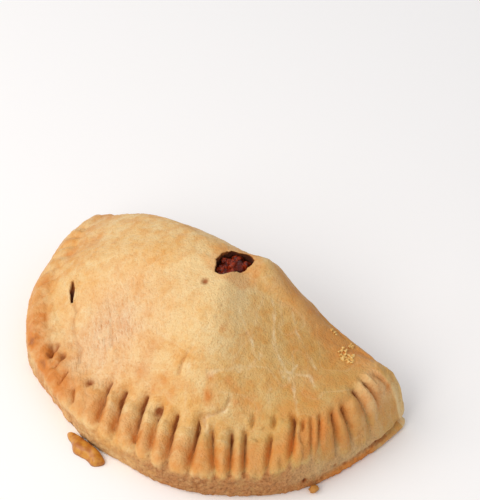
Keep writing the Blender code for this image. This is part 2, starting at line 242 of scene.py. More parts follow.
def outline(start, end):
    # a stretch of the outline, finely walked: distances, points and outward directions
    turn = np.linspace(start, end, pastry["walkPoints"])
    c, s = np.cos(turn), np.sin(turn)
    front = turn > math.pi if start >= math.pi else np.zeros(len(turn), bool)
    power = np.where(front, pastry["frontPower"], pastry["foldPower"])
    depth = np.where(front, pastry["frontDepth"], pastry["foldBulge"]) - pastry["cornerRound"]
    length = np.where(c < 0, pastry["leftLength"], pastry["rightLength"]) - pastry["cornerRound"]
    points = np.stack([length * signedPower(c, 2 / power), depth * signedPower(s, 2 / power)], 1)
    slope = 2 - 2 / power
    normals = unit(np.stack([signedPower(c, slope) / length, signedPower(s, slope) / depth], 1))
    points += normals * pastry["cornerRound"]
    steps = np.linalg.norm(np.diff(points, axis=0), axis=1)
    return np.concatenate([[0], np.cumsum(steps)]), points, normals


def rimWeights(points):
    x, y = points[:, 0], points[:, 1]
    right = smoothStep(pastry["rightBlend"], 1, x / pastry["rightLength"])
    left = smoothStep(pastry["leftBlend"], 1, -x / pastry["leftLength"])
    back = smoothStep(*pastry["foldBlend"], y / pastry["foldBulge"]) * (1 - right) * (1 - left)
    return {"front": 1 - right - left - back, "right": right, "left": left, "fold": back}


def doughColumns():
    # every line of the mesh, from the foot over the rim to the crown
    columns = {}
    walks = [outline(math.pi, 2 * math.pi), outline(0, math.pi)]
    counts = [pastry["frontColumns"], pastry["backColumns"]]
    edge, normal, along, isFront = [], [], [], []
    for (lengths, points, normals), count in zip(walks, counts):
        distance = np.arange(count) / count * lengths[-1]
        edge.append(along2d(distance, lengths, points))
        normal.append(unit(along2d(distance, lengths, normals)))
        along.append(distance)
        isFront.append(np.full(count, not isFront))
    edge, out = np.concatenate(edge), np.concatenate(normal)
    distance, front = np.concatenate(along), np.concatenate(isFront)
    frontLength = walks[0][0][-1]

    swell = pastry["planUnevenness"] * unevenAt(edge, pastry["planBump"], 1)
    for place, width, amount in pastry["swells"]:
        swell += amount * smoothStep(width, 0, abs(distance - place)) * front
    tab = np.where(front, smoothStep(0, pastry["tabStep"], distance - frontLength + pastry["tabReach"]),
                   smoothStep(pastry["tabReachOnFold"], 0, distance))
    weights = rimWeights(edge)
    for key in rims["front"]:
        columns[key] = sum(weights[side] * rims[side][key] for side in rims)
    ridgeShare = smoothStep(*pastry["followBlend"], edge[:, 0] / pastry["rightLength"])
    columns["follow"] = np.maximum(columns["follow"], ridgeShare)
    slump = pastry["sideSlump"] * smoothStep(*pastry["sideReach"], distance)
    slump = slump + pastry["tabSlump"] * smoothStep(*pastry["tabSlumpReach"], distance)
    onFold = (pastry["sideSlump"] + pastry["tabSlump"]) * smoothStep(*pastry["slumpOnFold"], distance)
    columns["slump"] = np.where(front, slump, onFold)
    columns["top"] = columns["edge"] - columns["round"] * pastry["roundDrop"] - columns["slump"]
    seam = pastry["seamHeight"] + unevenAt(edge, pastry["seamBump"], 8)
    columns["seamLevel"] = np.minimum(seam / columns["top"], pastry["seamHighest"])
    columns["seam"] *= 0.3 + 0.7 * tab
    edge = edge + out * (swell + pastry["tabOverhang"] * tab)[:, None]
    rim = edge - out * columns["lean"][:, None]

    turn = np.clip((fork["turnMiddle"] - distance) * fork["turnRate"], -fork["turnLimit"], fork["turnLimit"])
    turn = turn * smoothStep(0, fork["turnStart"], distance)
    swing = np.maximum(smoothStep(*fork["leftSwing"], distance),
                       smoothStep(*fork["rightSwing"], frontLength - distance))
    swing = np.where(front, swing, 1)[:, None]
    inward = unit(turned(-out, turn) * (1 - swing) + unit(crown - rim) * swing)
    band = rim + inward * columns["band"][:, None]
    away = unit(band - crown)
    angle = np.arctan2(away[:, 1], away[:, 0])
    tear = np.interp(np.degrees(angle), *zip(*pastry["tear"]))
    tear = tear + pastry["tearJag"] * unevenness(np.cos(angle), np.sin(angle), 1 / pastry["tearWaves"], 0.5)
    columns.update(edgePoint=edge, rimPoint=rim, out=out, inward=inward, bandPoint=band, away=away,
                   run=np.linalg.norm(crown - band, axis=1), tear=tear, angle=angle,
                   along=np.where(front, distance, -50), front=front, frontLength=frontLength)
    return columns


def ridgeHeight(x):
    top = pastry["crownHeight"]
    share = np.clip((x - crown[0]) / (pastry["shelfStart"] - crown[0]), 0, 1)
    rightSide = top + (pastry["shelfHeight"] - top) * share
    share = np.clip((crown[0] - x) / (crown[0] + pastry["leftLength"]), 0, 1)
    leftSide = top + (pastry["leftRidge"] - top) * share ** pastry["leftRidgePower"]
    return np.where(x > crown[0], rightSide, leftSide)


def hollowReach(away, gap):
    # distance from the crown to the wall of the hollow that the filling lies in
    farthest, halvings = 140.0, 40
    near, far = np.zeros(len(away)), np.full(len(away), farthest)
    line = pastry["hollowLine"]
    for _ in range(halvings):
        reach = (near + far) / 2
        x, y = (crown + away * reach[:, None] - (0, line)).T
        length = np.where(x < 0, pastry["leftLength"], pastry["rightLength"]) - pastry["cornerDough"] - gap
        behind = pastry["foldBulge"] - pastry["foldWall"] - line - gap
        before = pastry["frontDepth"] - pastry["sealedBand"] + line - gap
        power = np.where(y < 0, pastry["frontPower"], pastry["foldPower"])
        depth = np.where(y < 0, before, behind)
        inside = abs(x / length) ** power + abs(y / depth) ** power < 1
        near, far = np.where(inside, reach, near), np.where(inside, far, reach)
    return near


def swellHeight(c, place, part):
    # height of the smooth dome; part is 0 at the forked band and 1 at the crown
    top = pastry["crownHeight"] + (ridgeHeight(place[:, 0]) - pastry["crownHeight"]) * c["follow"]
    full = np.clip(1 - np.clip(1 - part, 0, 1) ** c["fullness"], 0, 1) ** (1 / c["root"])
    return c["shoulder"] + (top - c["shoulder"]) * full


def outerRing(c, kind, value):
    # one ring of the outer skin: plan places, heights, and distance in from the edge
    if kind == "under":
        foot = c["edgePoint"] - c["out"] * c["tuck"][:, None]
        return foot * value + crown * (1 - value), np.zeros(len(foot)), np.full(len(foot), -30.0)
    if kind == "wall":
        height = c["top"] * value
        push = -c["seam"] * smoothStep(pastry["seamSpread"], 0, abs(value - c["seamLevel"]))
        push = push - c["tuck"] * (1 - math.sqrt(1 - (1 - value) ** 2)) - c["lean"] * value ** 2
        place = c["edgePoint"] + c["out"] * push[:, None]
        return place, height, height - c["top"]
    if kind == "band":
        inwards = c["band"] * value
        height = c["edge"] + (c["shoulder"] - c["edge"]) * value
        edgeShare = np.clip(1 - inwards / c["round"], 0, 1)
        height = height - c["round"] * pastry["roundDrop"] * edgeShare ** 2
        height = height - c["slump"] * np.clip(1 - inwards / pastry["slumpWidth"], 0, 1) ** 2
        return c["rimPoint"] + c["inward"] * inwards[:, None], height, inwards
    part = value ** c["root"] * (1 - c["tear"] / c["run"])
    place = c["bandPoint"] + (crown - c["bandPoint"]) * part[:, None]
    lip = np.hypot(place[:, 0] - pastry["lipPlace"][0], place[:, 1] - pastry["lipPlace"][1])
    height = swellHeight(c, place, part) + pastry["lipRise"] * smoothStep(pastry["lipRadius"], 0, lip)
    bumps = unevenAt(place, pastry["domeBump"], 2)
    bumps = bumps * smoothStep(0, pastry["evenShare"], part)
    return place, height + pastry["domeUnevenness"] * bumps, c["band"] + part * c["run"]


def roofHeight(c, place):
    part = np.clip(1 - np.linalg.norm(place - crown, axis=1) / c["run"], 0, 1)
    return swellHeight(c, place, part) - pastry["crustThick"]


def innerRing(c, kind, value, gap=0.0):
    # one ring of the hollow's wall, or with a gap, of the filling
    corner = crown + c["away"] * hollowReach(c["away"], gap)[:, None]
    lip = crown + c["away"] * (c["tear"] - 2 * gap)[:, None]
    floor = pastry["floorThick"] + gap
    if kind == "side":
        return corner, floor + (roofHeight(c, corner) - gap - floor) * value
    if kind == "floor":
        return corner * value + crown * (1 - value), np.full(len(corner), floor)
    place = corner * (1 - value) + lip * value
    return place, roofHeight(c, place) - gap


def everyNth(c, step):
    return {k: v[::step] if isinstance(v, np.ndarray) else v for k, v in c.items()}


def bridge(faces, first, second):
    # faces between two rings given as (start, count); one ring may have half as many points
    (a, n), (b, m) = first, second
    if n == m:
        faces += [(a + i, a + (i + 1) % n, b + (i + 1) % n, b + i) for i in range(n)]
    elif n == 2 * m:
        faces += [(a + 2 * i, a + 2 * i + 1, a + (2 * i + 2) % n, b + (i + 1) % m, b + i) for i in range(m)]
    else:
        faces += [(a + i, a + (i + 1) % n, b + (2 * i + 2) % m, b + 2 * i + 1, b + 2 * i) for i in range(n)]


# (kind, where its rings lie, every how many lines): coarser where the lines draw together
ringPlan = [
    ("under", [0.25, 0.5, 0.75, 0.9], 4), ("under", [0.97], 2), ("under", [1.0], 1),
    ("wall", 1 - np.cos(np.linspace(0.07, 0.5, 23) * math.pi), 1),
    ("band", np.linspace(0, 1, 31)[1:] ** 1.15, 1),
    ("dome", np.linspace(0, 0.34, 34)[1:], 1),
    ("dome", np.linspace(0.34, 0.72, 39)[1:], 2),
    ("dome", np.linspace(0.72, 1, 30)[1:], 4),
]
tornDrops = (0.08, 0.2, 0.35, 0.5, 0.65, 0.8)   # rings down the torn edge to the hollow's roof
hollowPlan = [("roof", v) for v in (1, 0.93, 0.8, 0.5, 0.2)] + [("side", 1), ("side", 0), ("floor", 0.5)]
zoneCodes = {"under": 0, "wall": 1, "band": 2, "dome": 3, "torn": 4, "hollow": 5}


def joinRings(name, rings, ends, material):
    # a mesh of rings, each joined to the next, with a fan to a middle point at both ends
    counts = [len(ring) for ring in rings]
    starts = [sum(counts[:i]) for i in range(len(counts) + 1)]
    spans, tip, faces = list(zip(starts, counts)), starts[-1], []
    for first, second in zip(spans, spans[1:]):
        bridge(faces, first, second)
    start, n = spans[0]
    faces += [(tip, start + (i + 1) % n, start + i) for i in range(n)]
    start, n = spans[-1]
    faces += [(tip + 1, start + i, start + (i + 1) % n) for i in range(n)]
    tips = np.array([[*crown, height] for height in ends])
    return meshObject(name, np.concatenate(rings + [tips]), faces, material)


def makeCrustSkin():
    columns = doughColumns()
    rings, kept = [], []

    def addRing(c, place, height, inwards, code, seam=0.0):
        rings.append(np.column_stack([place, height]))
        seamShare = seam * c["seam"] / rims["right"]["seam"]
        kept.append(np.column_stack([c["along"], inwards, np.full(len(place), zoneCodes[code]), seamShare]))

    for kind, values, step in ringPlan:
        c = everyNth(columns, step)
        for value in values:
            nearSeam = smoothStep(pastry["seamSpread"], 0, abs(value - c["seamLevel"])) * (kind == "wall")
            addRing(c, *outerRing(c, kind, value), kind, nearSeam)
    c = everyNth(columns, pastry["innerStep"])
    lipTop = rings[-1]
    for drop in tornDrops:
        place, height = innerRing(c, "roof", 1.0)
        addRing(c, place, lipTop[:, 2] * (1 - drop) + height * drop, c["run"], "torn")
    for kind, value in hollowPlan:
        addRing(c, *innerRing(c, kind, value), c["run"], "hollow")
    kept.append([(-50, -30, 0, 0)] * 2)
    skin = joinRings("crust_skin", rings, (0, pastry["floorThick"]), None)
    for name, values in zip(("alongEdge", "inFromEdge", "zone", "seam"), np.concatenate(kept).T):
        setAttribute(skin, name, values)
    return skin, columns


crustSkin, doughLines = makeCrustSkin()
plainSkin = getPoints(crustSkin) / mm
pieMiddle = (plainSkin.min(0) + plainSkin.max(0)) / 2   # the plain form's, which is the CAD model's
print("crust skin:", len(crustSkin.data.vertices), "points")


dents = {
    "vent": dict(middle=(-43.1, -38.6), turn=-50, length=7.8, width=1.35, depth=2.0, lip=0.35,
                 taper=0.55, ragged=0.4, raggedSize=2.2, lipGap=0.6, lipWidth=0.5, dark=0.68),
    "ventMesh": (6.2, 2), "pitMesh": (2.6, 1), "finerAbove": 12,      # radius and cuts of the finer mesh
    # (x, y, radius, depth, how dark: the pit's own browning with painted shade in it)
    "pits": [(2.4, -23.3, 1.15, 0.6, 0.5), (8.8, -22.3, 0.35, 0.2, 0.25), (12.0, -26.4, 0.35, 0.2, 0.35),
             (13.1, -30.2, 0.4, 0.25, 0.3), (22.0, -25.3, 0.35, 0.2, 0.3), (-15.2, -61.0, 1.5, 1.6, 0.6),
             (11.1, -57.6, 0.6, 0.9, 0.62)],
    "pitDarkSpread": 1.2, "swaySize": 3,
    # (x, y, z, radius, depth, how dark: the pit's own browning with painted shade in it)
    "wallPits": [(59.9, -41.7, 4.0, 1.0, 0.8, 0.85), (64.0, -30.8, 5.1, 0.9, 0.5, 0.4),
                 (62.9, -35.7, 5.9, 0.8, 0.4, 0.35), (65.0, -26.6, 3.3, 0.8, 0.4, 0.4),
                 (27.3, -69.9, 5.3, 0.9, 0.6, 0.35), (36.5, -65.8, 5.6, 0.8, 0.6, 0.35)],
    # (x, y, radius, depth or height)
    "hollows": [(-19.3, -65.0, 2.0, 0.6), (-50.4, -18.1, 3.5, 0.5), (-57.1, -22.4, 4.0, 0.6),
                (-50.2, -49.4, 4.0, 0.4), (26, 0, 9, 0.4), (-22, -4, 10, 0.5)],
    "lumps": 0.5, "lumpSize": 2.4,
    "mounds": [(-6, -46, 9, 0.5), (36, -30, 8, 0.4), (-30, -20, 10, 0.4), (25, -2, 7.5, 2.5)],
    # bent lines: a few short folds by the left corner, wrinkles of the dried skin, shallow creases
    "folds": [[(-38.1, -55.5), (-35.5, -58.3)], [(-31.7, -56.4), (-30.3, -59.5), (-30.6, -61.6)],
              [(-25.2, -61.0), (-24.8, -64.9)], [(-18.5, -64.8), (-15.8, -68.8)],
              [(-36.4, -54.3), (-35.3, -58.5)]],
    "wrinkles": [[(-27.5, -38.4), (-23.9, -41.0), (-19.6, -45.3), (-15.2, -49.8)],
                 [(-12.9, -43.8), (-9.9, -46.2)], [(-12.2, -50.7), (-9.9, -52.8)],
                 [(-34.2, -39.7), (-30.4, -43.0)], [(-25.8, -43.5), (-22.5, -47.0)],
                 [(-22.4, -50.8), (-18.9, -53.3)], [(-19.5, -49.0), (-15.7, -51.8)]],
    "creases": [[(-40.1, -41.9), (-37.4, -43.4), (-36.7, -45.8), (-34.4, -48.3), (-27.3, -52.7),
                 (-24.1, -56.1)],
                [(11.5, -41.0), (11.3, -45.0), (12.1, -47.7)],
                [(29.6, -42.8), (30.1, -45.9), (28.1, -49.0), (25.3, -51.5), (28.0, -53.3)]],
    # width, depth, darkness and wander of each kind; the darkness is painted shade along the line
    "lines": {"folds": (1.1, 1.8, 0.4, 0.4), "wrinkles": (0.4, 0.45, 0.16, 0.5),
              "creases": (0.6, 0.6, 0.22, 0.5)},
}

# Pale lines of dried flour, browned patches and red spots: (x, y, radius, strength).
browning = {
    "crackles": [(.5, [(20.8, -24.9), (23.9, -25.5), (27.6, -27.9), (29.2, -27.8)]),
                 (.35, [(28.6, -29.0), (28.8, -32.4), (27.1, -34.9), (22.8, -39.8), (20.8, -43.0)]),
                 (.5, [(20.0, -9.7), (22.6, -11.5), (24.5, -14.4), (29.2, -20.1), (34.5, -22.8),
                       (40.3, -24.0), (46.0, -29.3), (49.4, -33.0)]),
                 (.6, [(38.4, -21.7), (38.3, -19.0)]), (.4, [(39.2, -22.7), (43.6, -19.0), (47.0, -21.2)]),
                 (.3, [(26.7, -7.3), (31.0, -10.7), (35.2, -11.8), (39.8, -14.3), (43.2, -15.4)]),
                 (.2, [(13.1, -32.8), (11.2, -37.3), (11.6, -40.4), (13.0, -43.2), (15.6, -47.7),
                       (20.7, -55.2)]),
                 (.25, [(11.0, -23.9), (14.9, -21.7), (16.8, -22.6), (20.0, -24.0)]),
                 (.5, [(29.6, -41.8), (30.6, -45.4), (28.6, -48.4), (26.0, -51.0), (28.8, -53.0)]),
                 (.25, [(37.5, -31.6), (37.5, -33.6), (41.1, -36.4)])],      # strength and line
    "crackleWidth": 0.4,
    "stars": [(38.2, -24.1, 2.0, 0.8), (29.2, -27.8, 1.8, 0.6), (21.5, -42, 2.4, 0.35), (28, -50, 2.5, 0.35)],
    "patches": [(23.6, -47.0, 1.6, .9), (21.4, -43.1, 1.3, .8), (26.6, -39.8, 1.2, .5), (29.1, -39.2, 1, .4),
                (31.5, -42.1, 1.2, .5), (16.3, -30.9, 1.3, .4), (23.5, -19.9, 1.3, .35), (46.2, -24.8, 2, .5),
                (-0.2, -44.8, 2.0, .5), (-0.1, -51.5, 3.0, .6), (8.2, -51.1, 2.2, .6), (5.7, -54.7, 2.2, .5),
                (12.9, -53.0, 2, .5), (-49.8, -49.5, 3.8, 0.7), (-45.0, -56.5, 3, 1.3),
                (-36.8, -57.0, 2.6, 1.2), (-36.7, -61.5, 3.5, 1.2), (-30.0, -63.8, 3.5, 1.1),
                (-23.6, -66.8, 3, .8), (-31, -59.5, 1.8, .6),
                (34, -14, 4, .4), (35.3, -39.7, 4, .4), (-50.4, -18.1, 3, .45), (-57.1, -22.4, 3.6, .5),
                (-27.5, -54.5, 2.5, .5), (-31, -51.5, 2, .4),
                (44, -22, 8, .3), (49, -31, 7, .35)],
    "patchStrength": 0.75, "crackleStrength": 1.3,
    "sheen": (-19, -47, 17, 0.45),                 # painted pink sheen: a painted highlight on the left of the dome
    # painted light: a paler patch in front of the crown that lightens the shade there
    "paler": (8, -21, 120, 0.9),                   # x, y, spread in square millimetres, strength
    "greyPatch": dict(middle=(65.5, -18), height=9, across=18, up=6, strength=0.2),
    "grains": [(9, 31), (4, 32), (1.5, 38)],       # size and seed of soft, coarse and fine unevenness
}


# How much of each finish lies where: strengths, each with the soft steps that bound it, as a
# measure of the skin and its values where the step starts and is full.
regions = {
    "fingers": [(0.3, []), (0.32, [("along", 80, 118)]), (-0.25, [("along", 204, 216)]),
                (-0.1, [("inwards", 6, 2), ("along", 100, 120)])],
    "band": [(1, [("toed", -1, 1.6), ("inwards", 13, 5), ("forked", 0, 1)])],
    "tineSide": [(0.28, [("fromTine", 2.2, 0.6)])],
    "leftSide": [(0.2, [("x", -40, -66)]), (0.3, [("x", -40, -66), ("y", -20, -45)])],
    # the ridge's browning is partly painted shade on it
    "ridge": [(0.42, [("x", 12, 22), ("x", 60, 52)])],
    "browned": [(0.1, [("x", 25, 60), ("y", -30, -8)]),                # right flank
                (0.3, [("y", -8, 4), ("x", 62, 52)]),                  # back slope: browning, partly painted shade
                (0.15, [("x", -12, -30), ("inwards", 12, 4), ("inwards", -2, 1), ("pastCorner", 0, 1)]),
                (-0.1, [("inwards", 0, -3), ("along", 150, 125)]),     # wall on the left
                (0.4, [("fromCrown", 10.5, 7.5)])],                    # lip of the tear
    "olive": [(0.65, [("slant", -10, 40)])],
    "tab": [(1, [("along", 211, 218), ("inwards", 1.5, 5), ("inwards", 13, 9)]),
            (0.8, [("x", 60, 66), ("fromFold", 8, 2), ("onFold", 0, 1)])],
    "cut": [(1, [("cutIn", 0.6, -2.4), ("edge", 0, 1)])],
    "uncut": [(1, [("y", -6, 2)])],       # the folded side is smooth skin right down to the base
    "cutAlong": [(0.35, []), (0.65, [("unevenAlong", 120, 145)])],
    "cutOnTab": [(0.7, [("along", 214, 221)])],
    "flouryCut": [(0.5, [("along", 176, 200), ("height", 2.5, 5)])],
    "tornDough": [(1, [("zone", 3.2, 3.8), ("zone", 4.9, 4.1)])],
    "toasted": [(0.1, [("height", 3.5, 0.5)]), (0.2, [("along", 170, 190), ("height", 6, 2)]),
                (0.8, [("along", 192, 202), ("height", 4.2, 2.2)]), (0.15, [("inwards", -2.5, 1.5)]),
                (0.4, [("along", 214, 224)]), (0.8, [("torn", 0, 1)])],
    # fork grooves: real browning with painted shade deep in them
    "groove": [(0.1, [("pressed", 0.9, 3.2)]), (0.44, [("pressed", 0.9, 3.2), ("inwards", 3, 9)])],
    "stain": [(0.85, [("seam", 0.7, 0.95), ("along", 213, 222)]),      # open seam under the tab: its red-brown with painted shade in the crevice
              (0.3, [("seam", 0.2, 0.33), ("along", 203, 212), ("beforeTab", 0, 1)]),
              (0.45, [("height", 0.5, 0.0), ("aboveBase", 0, 1)]),     # foot of the edge: painted contact shadow
              # inside the tear, lower down: gravy stain with painted shade in the opening
              (0.9, [("unevenHeight", 47.5, 43), ("torn", 0, 1)])],
    "underside": [(1, [("zone", 0.9, 0.1)])],
}


def toPath(places, path):
    # plan distance from each place to a bent line
    best = np.full(len(places), 1e9)
    for start, end in zip(path, path[1:]):
        start, end = np.array(start, float), np.array(end, float)
        share = np.clip(((places - start) @ (end - start)) / ((end - start) @ (end - start)), 0, 1)
        gap = np.hypot(*(places - start - share[:, None] * (end - start)).T)
        best = np.minimum(best, gap)
    return best


def refine(piece, place, radius, cuts):
    # finer mesh round a small opening in the top of the crust
    bm = bmesh.new()
    bm.from_mesh(piece.data)
    low = dents["finerAbove"] * mm
    near = {v for v in bm.verts
            if v.co.z > low and math.hypot(v.co.x / mm - place[0], v.co.y / mm - place[1]) < radius}
    edges = [e for e in bm.edges if e.verts[0] in near and e.verts[1] in near]
    bmesh.ops.subdivide_edges(bm, edges=edges, cuts=cuts, use_grid_fill=True)
    bm.to_mesh(piece.data)
    bm.free()


def readAttribute(piece, name):
    values = np.empty(len(piece.data.vertices), np.float32)
    piece.data.attributes[name].data.foreach_get("value", values)
    return values.astype(float)


def pressDents(skin):
    vent = dents["vent"]
    refine(skin, vent["middle"], *dents["ventMesh"])
    refine(skin, dents["pits"][0][:2], *dents["pitMesh"])
    points = getPoints(skin) / mm
    zone = readAttribute(skin, "zone")
    normals = np.empty(len(points) * 3, np.float32)
    skin.data.vertex_normals.foreach_get("vector", normals)
    normals = normals.reshape(-1, 3)
    places = points[:, :2]
    outer = (zone > 0.5) & (zone < 3.9)
    # the stain holds the crust's own dark marks together with painted shade in its hollows
    push, stain = np.zeros(len(points)), np.zeros(len(points))

    def dent(x, y, radius, depth):
        gap = np.hypot(places[:, 0] - x, places[:, 1] - y)
        return depth * np.exp(-(gap / radius) ** 2) * outer

    # pits are darkened: their own red-brown with painted shade inside them
    for x, y, radius, depth, dark in dents["pits"]:
        push -= dent(x, y, radius, depth)
        stain = np.maximum(stain, dent(x, y, radius * dents["pitDarkSpread"], dark))
    for x, y, z, radius, depth, dark in dents["wallPits"]:
        near = np.exp(-((points - (x, y, z)) ** 2).sum(1) / radius ** 2) * outer
        push -= depth * near
        stain = np.maximum(stain, dark * near)
    for x, y, radius, depth in dents["hollows"]:
        push -= dent(x, y, radius, depth)
    for x, y, radius, depth in dents["mounds"]:
        push += dent(x, y, radius, depth)
    # folds, wrinkles and creases are darkened with painted shade along them
    for kind, (width, depth, dark, wander) in dents["lines"].items():
        for number, path in enumerate(dents[kind]):
            sway = wander * unevenAt(places, dents["swaySize"], 20 + number)
            line = np.exp(-((toPath(places, path) + sway) / width) ** 2) * outer
            push -= depth * line
            stain = np.maximum(stain, dark * line)
    # the edge is lumpier towards the left corner
    along, inwards = readAttribute(skin, "alongEdge"), readAttribute(skin, "inFromEdge")
    lumpy = smoothStep(50, 70, along) * smoothStep(150, 110, along) * smoothStep(15, 10, inwards)
    push += dents["lumps"] * lumpy * unevenAt(places, dents["lumpSize"], 40) * outer
    # the vent is a leaf-shaped slit with a raised lip, painted dark inside as shade, darkest at its lower end
    turn = math.radians(vent["turn"])
    x, y = (places - vent["middle"]).T
    down, across = x * math.cos(turn) + y * math.sin(turn), -x * math.sin(turn) + y * math.cos(turn)
    half = vent["width"] / 2 * np.clip(1 - (down / (vent["length"] / 2)) ** 2, 0, 1) ** vent["taper"]
    half = half * (1 + vent["ragged"] * unevenness(down, 0 * down, vent["raggedSize"], 9))
    inside = smoothStep(half + 0.25, half - 0.2, np.abs(across)) * (half > 0) * outer
    lip = np.exp(-((np.abs(across) - half - vent["lipGap"]) / vent["lipWidth"]) ** 2) * (half > 0.05) * outer
    push += vent["lip"] * lip * (1 - inside)
    stain = np.maximum(stain, inside * (vent["dark"] + (1 - vent["dark"]) * smoothStep(-2.5, 1.5, down)))
    points += normals * push[:, None]
    points[:, 2] -= vent["depth"] * inside
    setPoints(skin, points * mm)
    setAttribute(skin, "stain", stain)


pressDents(crustSkin)
print("dents pressed:", len(crustSkin.data.vertices), "points")


def mixed(share, first, second):
    # a colour between two, each a hex code or a field
    first, second = [hexColor(color) if isinstance(color, str) else color for color in (first, second)]
    return field(share.tree, "ShaderNodeMix", {"data_type": "RGBA"}, {0: share, 6: first, 7: second}, 2)


def attributeField(tree, name):
    return field(tree, "ShaderNodeAttribute", {"attribute_name": name}, None, "Fac")


def bumpField(tree, strength, distance, height, **more):
    return field(tree, "ShaderNodeBump", None,
                 {"Strength": strength, "Distance": distance * mm, "Height": height, **more})


def newMaterial(name, finish):
    material = bpy.data.materials.new(name)
    material.use_nodes = True
    tree = material.node_tree
    tree.nodes.clear()
    shader = addNode(tree, "ShaderNodeBsdfPrincipled", None, finish)
    addNode(tree, "ShaderNodeOutputMaterial", None, {"Surface": Field(tree, shader.outputs[0])})
    return material, tree, shader, field(tree, "ShaderNodeTexCoord", None, None, "Object")


pastryLook = {
    "pale": "#EACA90", "gold": "#E3AD60", "brown": "#D48439", "deepBrown": "#8A4A1E",
    # the pink tone is a painted sheen, a painted highlight
    "rosy": "#F1C6A6", "olive": "#C1984C", "cut": "#BC834F", "cutShade": "#986236", "cutLight": "#D4A874",
    # the two dark red-browns paint stains together with painted shade in hollows
    "flour": "#E8CB92", "bloom": "#F3DFB4", "stain": "#4A1D0C", "stainAndShadeLight": "#A05820", "base": "#B9803F",
    "roughness": (0.42, 0.6), "wallRoughness": 0.8,
    "finish": {"IOR": 1.45, "Specular IOR Level": 0.4},
    # size, detail, roughness and seed of each noise
    "grain": (0.6, 2, 0.6, 1), "mottle": (2.2, 4, 0.6, 2), "cloud": (13, 3, 0.5, 3),
    "patch": (5, 3, 0.6, 13), "pores": (0.9, 3, 0.6, 7), "skinLines": (0.8, 3, 0.6, 11),
    "veins": (17, 1, 0.5, 12, 0.3),
    "drawnTurn": -49, "drawnOut": 7,      # the drying skin is creased along one line
    "reliefStrength": 0.85, "poreStrength": 0.9, "reliefHeight": 0.5,
}


def bakedPastry():
    # shortcrust baked with a thin egg wash: satin, mottled gold; its cut edge is matt and porous
    look = pastryLook
    material, tree, shader, position = newMaterial("golden baked shortcrust", look["finish"])
    grain, mottle, cloud, patch, pores, veins = [
        noiseField(position, *look[name]) for name in ("grain", "mottle", "cloud", "patch", "pores", "veins")]
    names = ("browned", "cutDough", "stain", "rosy", "olive", "floury", "paler", "bloom", "toasted",
             "underside")
    browned, wall, stain, rosy, olive, floury, paler, bloom, toast, underside = [
        attributeField(tree, name) for name in names]
    drawn = field(tree, "ShaderNodeMapping", {"vector_type": "TEXTURE"},
                  {"Vector": position, "Rotation": (0, 0, math.radians(look["drawnTurn"])),
                   "Scale": (look["drawnOut"], 1, 1)})
    skinLines = noiseField(drawn, *look["skinLines"])
    veins = (veins - 0.5).math("ABSOLUTE")

    def layered(color, layers):
        for share, tone in layers:
            color = mixed(share, color, look[tone])
        return color

    toGold = cloud.ramp(0.3, 0.7, 0.2, 0.8) + mottle.ramp(0.3, 0.7, -0.15, 0.15)
    # less gold in the paler patch, which is painted light in front of the crown
    toGold = toGold + patch.ramp(0.35, 0.65, -0.2, 0.2) - paler
    # the pink layer is a painted sheen, a painted highlight on the left of the dome; its pale streaks are
    # painted highlights too
    color = layered(mixed(toGold.clamped(), look["pale"], look["gold"]), [
        (rosy, "rosy"), (olive, "olive"), (floury, "flour"), (grain.ramp(0.48, 0.7, 0, 0.32), "brown"),
        (skinLines.ramp(0.52, 0.7, 0, 1.1) * rosy, "brown"),
        (skinLines.ramp(0.48, 0.3, 0, 1.0) * rosy, "bloom"),
        (veins.ramp(0.018, 0.003, 0, 0.13), "bloom"),
        ((browned + patch.ramp(0.4, 0.7, -0.1, 0.18)).clamped(), "brown"),
        (browned.ramp(1.0, 1.8, 0, 0.6), "deepBrown")])
    crumb = layered(mixed(pores.ramp(0.3, 0.55), look["cutShade"], look["cut"]), [
        (pores.ramp(0.55, 0.75, 0, 0.7), "cutLight"),
        ((toast + mottle.ramp(0.35, 0.7, -0.15, 0.15)).clamped(), "brown"), (floury, "flour")])
    raggedWall = (wall + mottle.ramp(0.3, 0.7, -0.3, 0.3)) * wall.ramp(0.02, 0.3)
    # the dark red-brown layers are real stains and juice together with painted shade in pits, creases,
    # grooves, the vent, the seam, the tear and at the foot
    color = layered(mixed(raggedWall.clamped(), color, crumb), [
        (underside, "base"), (bloom, "bloom"), (stain.ramp(0.02, 0.55), "stainAndShadeLight"),
        (stain.ramp(0.4, 0.95), "stain")])

    gloss = mottle.ramp(0.3, 0.7, *look["roughness"])
    rough = field(tree, "ShaderNodeMix", {"data_type": "FLOAT"},
                  {0: wall.clamped(), 2: gloss, 3: look["wallRoughness"]})
    # fine creases of the drying skin are strongest where the painted sheen lies
    lineShare = rosy.ramp(0.05, 0.5, 0.25, 2.6)
    fine = grain + mottle * 1.2 + skinLines * lineShare
    relief = bumpField(tree, look["reliefStrength"], look["reliefHeight"], fine)
    poreStrength = (wall * look["poreStrength"]).clamped()
    porous = bumpField(tree, poreStrength, look["reliefHeight"], pores, Normal=relief)
    for name, value in (("Base Color", color), ("Roughness", rough), ("Normal", porous)):
        wire(tree, shader.inputs[name], value)
    return material


